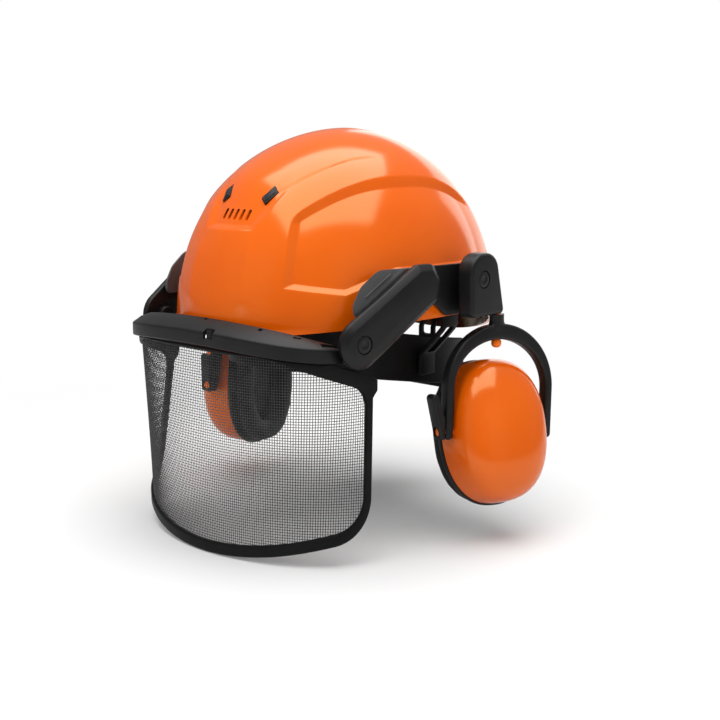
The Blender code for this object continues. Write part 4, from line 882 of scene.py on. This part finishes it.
def makeArms():
    inner = bracket["thick"] + arm["stand"]
    reach = (hingeAt.y - tiltAt.y) / math.cos(bracket["yaw"])
    fall = hingeAt.z - tiltAt.z
    length, tilt = math.hypot(reach, fall), Matrix.Rotation(math.atan2(fall, reach), 2)
    wide, end = arm["hingeRadius"], -length - arm["pivotRadius"]
    corners = [
        (end, -arm["pivotRadius"], 16), (0.4 * wide, -wide, 8), (wide, -0.3 * wide, 7),
        (wide, arm["endBack"], arm["endRound"]), (arm["endTop"], wide, arm["endRound"]),
        (end, arm["pivotRadius"], 16),
    ]
    outline = [tuple(tilt @ Vector(p)) for p in rounded(corners)]
    for name, side in sides.items():
        place = bracketFrame(side) @ outward(side)
        top, at = inner + arm["thick"], (-reach, -fall)
        plate = slab("visorArm", outline, inner, top, arm["edge"], place, 5, arm["chamfer"])
        obj = sinkSeat(bare(f"visorArm_{name}", plate), at, top, place)
        dress(obj, finishes["black"], "visor_arms", [f"visor_arm_{name}"])
        makeButton(f"visorButton_{name}", at, top, place, "visor_arms", f"visor_pivot_button_{name}")


def makeBlocks():
    inner = bracketOut(bracket["back"]) + bracket["thick"] + block["stand"]
    for name, side in sides.items():
        pivot = jointAt[f"muff_swing_{name}"]
        foot = block["footZ"] - pivot.z
        outline = rounded([
            (block["back"], block["top"], block["round"]), (-block["front"], block["top"], block["round"]),
            (1 - block["front"], foot, 5), (block["footBack"] - pivot.y, foot, 3.4),
        ])
        place = sideFrame(side, (inner, pivot.y, pivot.z)) @ outward(side)
        top = block["thick"]
        obj = bare(f"earBlock_{name}", slab("earBlock", outline, 0, top, block["edge"], place, 7))
        sinkSeat(obj, (0, 0), top, place)
        dress(obj, finishes["black"], f"block_{name}", [f"ear_block_{name}"])
        makeButton(f"blockButton_{name}", (0, 0), top, place, "helmet", f"block_pivot_button_{name}")


makeBrackets()
makeArms()
makeBlocks()
print("side gear ready")


# Ear muffs

yoke = {
    "yaw": {"left": 18 * deg, "right": 12 * deg}, "lean": 6.5 * deg, "roll": -6 * deg, "shift": 3.3,
    "halfWidth": 45, "arch": 44.6, "leg": 6.5, "crown": 11, "thick": 9, "drop": 75, "boss": 6.5, "neck": 7,
    "edge": 2.2, "bore": 3.4,
}
fingerTab = {"length": 31, "thick": 3.8, "lean": 12 * deg}
cup = {
    "tilt": {"left": 12.5 * deg, "right": -9 * deg}, "halfWidth": 37.8, "halfHeight": 50.7, "power": 2.3,
    "depth": 38, "pivotDepth": 12.5, "lift": 1, "wall": 2.5, "base": 3.5, "baseLip": 1, "earWidth": 21,
    "earHeight": 32, "cushion": 13, "cushionInset": 1.5, "foam": 11,
}


def yokeFrame(name, side):
    place = jointAt[f"muff_swivel_{name}"]
    turn = Matrix.Rotation(-side * yoke["lean"], 4, "X") @ Matrix.Rotation(yoke["roll"], 4, "Z")
    top = (abs(place.x), place.y, place.z - yoke["neck"])
    return sideFrame(side, top, yoke["yaw"][name]) @ turn @ Matrix.Translation((yoke["shift"], 0, 0))


def cupFrame(name, side):
    pivot = yokeFrame(name, side) @ Matrix.Translation((0, -yoke["drop"], 0))
    return pivot @ Matrix.Rotation(-side * cup["tilt"][name], 4, "X")


def makeYoke(name, side):
    place = yokeFrame(name, side) @ outward(side)
    centre = -yoke["arch"]
    innerA, innerB = yoke["halfWidth"] - yoke["leg"], yoke["arch"] - yoke["crown"]
    foot, boss = yoke["halfWidth"] - yoke["boss"] / 2, yoke["boss"] / 2
    low = -yoke["drop"] - boss - 2
    turns = spaced(0, math.pi, 81)
    arch = [(yoke["halfWidth"] * math.cos(t), centre + yoke["arch"] * math.sin(t)) for t in turns]
    under = [(innerA * math.cos(t), centre + innerB * math.sin(t)) for t in spaced(math.pi, 0, 71)]
    legEnd = [t * deg for t in spaced(180, 360, 13)]
    outline = arch + [(-foot + boss * math.cos(t), low + boss + boss * math.sin(t)) for t in legEnd]
    outline += under + [(foot + boss * math.cos(t), low + boss + boss * math.sin(t)) for t in legEnd]
    thin = yoke["thick"] / 2
    obj = bare(f"yoke_{name}_arch", slab("yoke", outline, -thin, thin, yoke["edge"], place, 5))
    swivel = jointAt[f"muff_swivel_{name}"]
    rings = []
    for t in spaced(0, 1, 9):
        size = 6.2 + 5.5 * smooth((t - 0.35) / 0.65) ** 1.5
        z = swivel.z - 0.4 - t * (yoke["neck"] + 4)
        rings.append([(swivel.x + 4.4 * math.cos(a), swivel.y + size * math.sin(a), z)
                      for a in [2 * math.pi * k / 40 for k in range(40)]])
    neck = skin("yokeNeck", rings, closeColumns=True, capEnds=True, flip=True)
    carve(obj, [neck], "UNION")
    dress(obj, finishes["black"], f"muff_yoke_{name}", [f"yoke_{name}"])
    front = -foot - boss - 0.4
    lean = math.tan(fingerTab["lean"]) * fingerTab["length"]
    tall, thick = fingerTab["length"], fingerTab["thick"]
    tab = rounded([
        (front, low, 1), (front, low + tall * 0.45, 3), (front - lean, low + tall, 2.6),
        (front - lean - thick * 1.5, low + tall, 2.9), (front - thick, low, 1.5),
    ])
    piece = bare(f"fingerTab_{name}", slab("tab", tab, -thin, thin, 1.4, place, 4))
    turned = place @ Matrix.Translation((0, -yoke["drop"], 0)) @ Matrix.Rotation(90 * deg, 4, "Y")
    carve(piece, [slab("pinBore", circle(yoke["bore"], 40), -90, 90, 0.1, turned, 1)])
    dress(piece, finishes["black"], f"muff_yoke_{name}", [f"finger_tab_{name}"])


def cupSize(share):
    return max(0.0, 1 - share ** 5) ** 0.5 * (1 - 0.1 * share ** 2)


def ovalRing(halfA, halfB, z, count=120):
    return [Vector((a, b + cup["lift"], z)) for a, b in superellipse(halfA, halfB, cup["power"], count)]


def makeCup(name, side):
    place = cupFrame(name, side) @ outward(side)
    body, base = f"cup_{name}", -cup["pivotDepth"]
    rings = []
    for turn in spaced(0, 90 * deg, 60):
        share = math.sin(turn) ** 0.55
        size = cupSize(share)
        rings.append(ovalRing(cup["halfWidth"] * size, cup["halfHeight"] * size, base + share * cup["depth"]))
    mesh = welded(skin("earCup", rings, closeColumns=True, place=place))
    obj = thicken(bare(f"earCup_{name}", mesh), cup["wall"])
    dress(obj, finishes["cup"], body, [f"ear_cup_{name}"], 50)
    lip = superellipse(cup["halfWidth"] + cup["baseLip"], cup["halfHeight"] + cup["baseLip"], cup["power"],
                       120)
    top = base - 0.4
    plate = slab("cupBase", [(a, b + cup["lift"]) for a, b in lip], top - cup["base"], top, 1.0, place, 4)
    hole = superellipse(cup["earWidth"], cup["earHeight"], cup["power"], 96)
    hole = slab("earHole", [(a, b + cup["lift"]) for a, b in hole], top - 20, top + 20, 0.1, place, 1)
    seatPlate = carve(bare(f"cupBase_{name}", plate), [hole])
    dress(seatPlate, finishes["black"], body, [f"cup_base_{name}"])
    makeCushion(name, side, place, body, top - cup["base"] - 0.4)
    slim = cup["wall"] + 1.5 + cup["halfWidth"] * (1 - cupSize(2 * cup["foam"] / cup["depth"]))
    pad = superellipse(cup["halfWidth"] - slim, cup["halfHeight"] - slim, cup["power"], 96)
    pad = [(a, b + cup["lift"]) for a, b in pad]
    foam = slab("foam", pad, base + 0.4, base + 0.4 + cup["foam"], 2.5, place, 5)
    lining = bare(f"cupLining_{name}", foam)
    dress(lining, finishes["foam"], body, [f"cup_foam_{name}"])


def makeCushion(name, side, place, body, top):  # a soft ring, crowned towards the head
    outerA, outerB = cup["halfWidth"] - cup["cushionInset"], cup["halfHeight"] - cup["cushionInset"]
    widthA, widthB = outerA - cup["earWidth"], outerB - cup["earHeight"]
    rings, count = [], 200
    for turn in spaced(0, 2 * math.pi, 57)[:-1]:
        out, down = math.cos(turn), math.sin(turn)
        fill = 0.5 - 0.5 * math.copysign(abs(out) ** 0.8, out)
        drop = 0.5 + 0.5 * math.copysign(abs(down) ** 0.75, down)
        seam = 0.5 * math.exp(-((turn - 200 * deg) / (5 * deg)) ** 2)
        ring = ovalRing(outerA - widthA * (0.04 + 0.92 * fill), outerB - widthB * (0.04 + 0.92 * fill),
                        top - cup["cushion"] * drop, count)
        moved = []
        for point in ring:
            crinkle = noise.noise(Vector((point.x * 0.16, point.y * 0.16, turn * 1.2 + side * 5)))
            pull = 0.35 * crinkle * (0.3 + 0.7 * drop) + seam
            away = Vector((point.x, point.y - cup["lift"], 0)).normalized() * (1 if fill < 0.5 else -1)
            moved.append(point - away * pull + Vector((0, 0, 0.3 * crinkle * drop)))
        rings.append(moved)
    mesh = skin("earCushion", rings, closeRows=True, closeColumns=True, flip=True, place=place)
    obj = bare(f"earCushion_{name}", mesh)
    dress(obj, finishes["cover"], body, [f"ear_cushion_{name}"], 60)


for sideName, sideSign in sides.items():
    makeYoke(sideName, sideSign)
    makeCup(sideName, sideSign)
print("ear muffs ready")


# Headband, sweatband, crown straps and nape gear

band = {
    "halfWidth": 77, "centreY": 20, "front": 118, "height": 34, "wall": 2.4, "rise": -21, "slope": 0.17,
    "end": 35 * deg,
}
sweat = {"height": 28, "thick": 5, "spread": 66 * deg}
strap = {"width": 20, "thick": 1.4, "space": 32}
hanger = {"thick": 3, "top": 22, "straight": 16, "foot": 16.5, "slot": 9}
knob = {"radius": 19, "depth": 12, "grips": 18}


def bandPoint(angle, height, spread=0.0):  # angle from the wearer's left, positive to the front
    reach = band["front"] if math.sin(angle) > 0 else band["halfWidth"]
    x = (band["halfWidth"] + spread) * math.cos(angle)
    y = band["centreY"] - (reach + spread) * math.sin(angle)
    return Vector((x, y, band["rise"] - band["slope"] * y + height))


def makeHeadband():
    rows, half, wall = [], band["height"] / 2, band["wall"]
    for angle in spaced(-band["end"], 180 * deg + band["end"], 241):
        end = max(0, max(-angle, angle - 180 * deg) - band["end"] + 9 * deg) / (9 * deg)
        tall = half * (1 - 0.45 * end ** 3)
        section = [(tall, -0.5), (tall, -wall + 0.5), (tall - 0.6, -wall), (0.6 - tall, -wall),
                   (-tall, 0.5 - wall), (-tall, -0.5), (0.6 - tall, 0), (tall - 0.6, 0)]
        rows.append([bandPoint(angle, h, s) for h, s in section])
    obj = bare("headBand", skin("headBand", rows, closeColumns=True, capEnds=True))
    dress(obj, finishes["strapBlack"], "helmet", ["headband"])


def makeSweatband():
    rows = []
    for angle in spaced(90 * deg - sweat["spread"], 90 * deg + sweat["spread"], 181):
        end = abs(angle - 90 * deg) / sweat["spread"]
        half = sweat["height"] / 2 * (1 - 0.3 * end ** 6)
        channel = 0.7 + 0.3 * abs(math.sin(angle * 17)) ** 0.35
        swell = sweat["thick"] * (1 - 0.5 * end ** 6) * channel
        back = -band["wall"] - 0.4
        section = [(half * 0.75, 0.02)]
        for turn in spaced(70 * deg, -70 * deg, 15):
            section.append((half * math.sin(turn) / math.sin(70 * deg), 0.12 + 0.88 * math.cos(turn) ** 0.6))
        section.append((-half * 0.75, 0.02))
        rows.append([bandPoint(angle, h, back - swell * s) for h, s in section])
    obj = bare("sweatBand", skin("sweatBand", rows, closeColumns=True, capEnds=True, flip=True))
    dress(obj, finishes["cover"], "helmet", ["sweatband"], 60)


def makeStraps():
    endDepth = shell["wall"] + hanger["thick"] + strap["thick"] / 2 + 2.4
    foot = hanger["top"] - hanger["straight"] / 2
    levels = spaced(shellLevel(foot), 90 * deg, 60)
    for name, node, start, space in (
        ("crownStrapAcross", "crown_strap_across", 90 * deg, strap["space"] + 2 * strap["thick"]),
        ("crownStrapLong", "crown_strap_lengthways", 0, strap["space"]),
    ):
        path = []
        for angle, half in ((start, levels), (start + 180 * deg, levels[-2::-1])):
            for level in half:
                z = shell["height"] * math.sin(level) ** shell["crownPower"]
                rise = (z - foot) / (shell["height"] - foot)
                path.append(shellPoint(angle, z, endDepth + (space - endDepth) * rise ** 1.5))
        across = Vector((math.cos(start), math.sin(start), 0))
        rows = []
        for i, point in enumerate(path):
            run = path[min(i + 1, len(path) - 1)] - path[max(i - 1, 0)]
            out = run.cross(across).normalized()
            half, thin = strap["width"] / 2, strap["thick"] / 2
            section = [(half, 0.4), (half - 0.5, 1), (half / 2, 0.9), (0, 1), (-half / 2, 0.9),
                       (0.5 - half, 1), (-half, 0.4)]
            section += [(-a, -b) for a, b in section]
            rows.append([point + across * a + out * thin * b for a, b in section])
        obj = bare(name, skin(name, rows, closeColumns=True, capEnds=True))
        dress(obj, finishes["tape"], "helmet", [node], 60)


def softCopy(node, name, finish, body, edge, sharp=25):  # a CAD solid with its edges rounded
    mesh = frame["nodes"][node].data.copy()
    bm = bmesh.new()
    bm.from_mesh(mesh)
    bmesh.ops.remove_doubles(bm, verts=bm.verts, dist=0.00001)
    bmesh.ops.dissolve_limit(bm, angle_limit=1 * deg, verts=bm.verts, edges=bm.edges)
    hard = [e for e in bm.edges if len(e.link_faces) == 2 and e.calc_face_angle() > sharp * deg]
    bmesh.ops.bevel(bm, geom=hard, offset=edge * mm, segments=3, profile=0.5, affect="EDGES",
                    clamp_overlap=True)
    bmesh.ops.recalc_face_normals(bm, faces=bm.faces)
    bm.to_mesh(mesh)
    bm.free()
    obj = bare(name, mesh)
    return dress(obj, finish, body, [node], 40)


def makeNape():
    softCopy("nape_housing", "napeHousing", finishes["strapBlack"], "helmet", 0.5, 40)
    for name in sides:
        softCopy(f"nape_rack_{name}", f"napeRack_{name}", finishes["strapBlack"], f"rack_{name}",
                 0.4, 40)
    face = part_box("ratchet_knob")[1].y / mm
    axis = jointAt["knob_turn"]
    place = Matrix.Translation((0, face - knob["depth"], axis.z)) @ Matrix.Rotation(-90 * deg, 4, "X")
    ends = [(1.6 * (1 - math.sin(t)), 1.6 * (1 - math.cos(t))) for t in spaced(0, 90 * deg, 6)]
    rings = []
    for cut, z in ends + [(c, knob["depth"] - z) for c, z in ends[::-1]]:
        ring = []
        for t in [2 * math.pi * k / 216 for k in range(216)]:
            r = knob["radius"] - 0.9 + 0.9 * math.cos(knob["grips"] * t) ** 3 - cut
            ring.append((r * math.cos(t), r * math.sin(t), z))
        rings.append(ring)
    obj = bare("napeKnob", skin("napeKnob", rings, closeColumns=True, capEnds=True, place=place))
    stem = slab("stem", circle(2.5, 24), -3.4, 1, 0.3, place, 2)
    dish = slab("dish", circle(12, 64), knob["depth"] - 1.2, knob["depth"] + 10, 0.9, place, 4)
    carve(carve(obj, [stem], "UNION"), [dish])
    dress(obj, finishes["black"], "knob", ["ratchet_knob"])
    softCopy("ratchet_pinion", "napePinion", finishes["trim"], "knob", 0.2, 40)


def makeSmallParts():
    for where in ("left", "right", "front", "rear"):
        node, name = f"strap_hanger_{where}", f"strapHanger_{where}"
        obj = softCopy(node, name, finishes["strapBlack"], "helmet", 0.7, 40)
        turn = Matrix.Rotation(90 * deg, 4, "X") if where in ("front", "rear") else sideFrame(1, (0, 0, 0))
        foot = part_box(node)[0].z / mm + hanger["foot"] * (0.5 if where == "rear" else 1)
        wide, top = hanger["slot"] / 2, hanger["top"] - hanger["straight"] - 1
        gap = tile((-wide, foot), (wide, top), 2)
        carve(obj, [slab("hangerSlot", gap, -200, 200, 0.1, turn, 1)])
        dress(obj, finishes["strapBlack"], "helmet", (), 40)
    for name in sides:
        softCopy(f"arm_hinge_pin_{name}", f"hingePin_{name}", finishes["steel"], "visor_arms",
                 0.3, 40)
        low, high = [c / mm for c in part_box(f"swivel_pin_{name}")]
        axis = jointAt[f"muff_swivel_{name}"]
        profile = [(0.3, 0), (1.8, 0.25), (3.0, 1.1), (3.5, 2.4), (3.5, 4.6), (2.9, 5.4), (2.5, 6)]
        inBlock = block["footZ"] - low.z
        profile += [(2.5, inBlock + 0.4), (1.5, inBlock + 1.4), (1.5, high.z - low.z)]
        rings = [[(axis.x + r * x, axis.y + r * y, low.z + z) for x, y in circle(1, 40)] for r, z in profile]
        pin = bare(f"swivelPin_{name}", skin("swivelPin", rings, closeColumns=True, capEnds=True))
        dress(pin, finishes["pin"], f"block_{name}", [f"swivel_pin_{name}"], 50)
        for end in ("front", "rear"):
            softCopy(f"cup_pivot_pin_{end}_{name}", f"cupPin_{end}_{name}", finishes["pin"], f"cup_{name}",
                     0.5, 40)


makeHeadband()
makeSweatband()
makeStraps()
makeNape()
makeSmallParts()
print("cradle ready")


# Studio: floor, light and camera

studio = {
    "size": 6000, "floor": 0.7, "lift": 0.07, "fadeFrom": 0.34, "fadeTo": 0.62, "skyTop": 0.3,
    "skySide": 0.12, "mirrored": 0.14,
    "azimuth": 42 * deg, "elevation": 10.6 * deg, "distance": 945, "aim": (0, 17, -33.6), "lens": 61.8,
}


def makeFloor():
    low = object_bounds()[0][2]
    corners = [(-1, -1), (1, -1), (1, 1), (-1, 1)]
    corners = [(x * studio["size"], y * studio["size"], low / mm - 0.3) for x, y in corners]
    obj = bare("studioFloor", meshFrom("studioFloor", corners, [(0, 1, 2, 3)]))
    material = bpy.data.materials.new("floor_white")
    material.use_nodes = True
    tree = material.node_tree
    flow = Flow(tree)
    tree.nodes.remove(tree.nodes["Principled BSDF"])
    path = flow.node("LightPath", out="Is Camera Ray")
    paint = flow.node("BsdfDiffuse", None, {"Color": (studio["floor"],) * 3 + (1,)})
    glow = flow.node("Emission", None, {"Color": (1, 1, 1, 1), "Strength": path * studio["lift"]})
    near = flow.node("AddShader", None, {0: paint, 1: glow})
    white = flow.node("Emission", None, {"Color": (1, 1, 1, 1), "Strength": 1.0})
    where = flow.node("TexCoord", out="Object")
    away = flow.node("VectorMath", {"operation": "LENGTH"}, {0: where}, "Value")
    far = flow.node("MapRange", {"interpolation_type": "SMOOTHSTEP"},
                    {"Value": away, "From Min": studio["fadeFrom"], "From Max": studio["fadeTo"]})
    shown = flow.node("MixShader", None, {0: far * path, 1: near, 2: white})
    shown.to(tree.nodes["Material Output"].inputs["Surface"])
    obj.data.materials.append(material)


def makeWorld():
    world = bpy.data.worlds.new("studioWorld")
    bpy.context.scene.world = world
    world.use_nodes = True
    flow = Flow(world.node_tree)
    where = flow.node("TexCoord", out="Generated")
    height = flow.node("SeparateXYZ", None, {0: where}, "Z")
    sky = flow.node("MapRange", None, {"Value": height, "From Min": -0.1, "From Max": 0.7,
                                       "To Min": studio["skySide"], "To Max": studio["skyTop"]})
    path, glossy = (flow.node("LightPath", out=f"Is {kind} Ray") for kind in ("Camera", "Glossy"))
    back = world.node_tree.nodes["Background"]
    back.inputs["Color"].default_value = (1, 1, 1, 1)
    (sky * (1 - path) + path + studio["mirrored"] * glossy).to(back.inputs["Strength"])


def softbox(name, place, aim, size, watts, mirrored=True):
    data = bpy.data.lights.new(name, "AREA")
    data.shape, data.size, data.size_y, data.energy = "RECTANGLE", size[0], size[1], watts
    lamp = bpy.data.objects.new(name, data)
    bpy.context.scene.collection.objects.link(lamp)
    lamp.location = place
    lamp.visible_glossy = mirrored
    lamp.rotation_euler = (Vector(aim) - Vector(place)).to_track_quat("-Z", "Y").to_euler()


def makeCamera():
    a, e = studio["azimuth"], studio["elevation"]
    back = Vector((math.sin(a) * math.cos(e), -math.cos(a) * math.cos(e), math.sin(e)))
    right = Vector((math.cos(a), math.sin(a), 0))
    camera = bpy.data.objects.new("camera", bpy.data.cameras.new("camera"))
    bpy.context.scene.collection.objects.link(camera)
    turn = Matrix((right, back.cross(right), back)).transposed().to_4x4()
    camera.matrix_world = Matrix.Translation((Vector(studio["aim"]) + back * studio["distance"]) * mm) @ turn
    camera.data.lens, camera.data.sensor_width = studio["lens"], 36
    camera.data.clip_start, camera.data.clip_end = 0.01, 50
    bpy.context.scene.camera = camera


makeFloor()
makeWorld()
softbox("overheadBox", (0.08, -0.05, 1.1), (0, 0, 0), (1.4, 1.4), 22.5)
softbox("frontFill", (-0.4, -1.55, 0.5), (0, 0, -0.02), (1.4, 1.2), 11.5, False)
softbox("rightFill", (1.6, -0.3, 0.45), (0, 0, -0.02), (1.0, 1.2), 8, False)
softbox("rearBox", (-0.45, 1.7, 0.5), (0, 0, 0.02), (1.6, 1.0), 8)
makeCamera()
bpy.context.scene.view_settings.view_transform = "Standard"
print("studio ready")
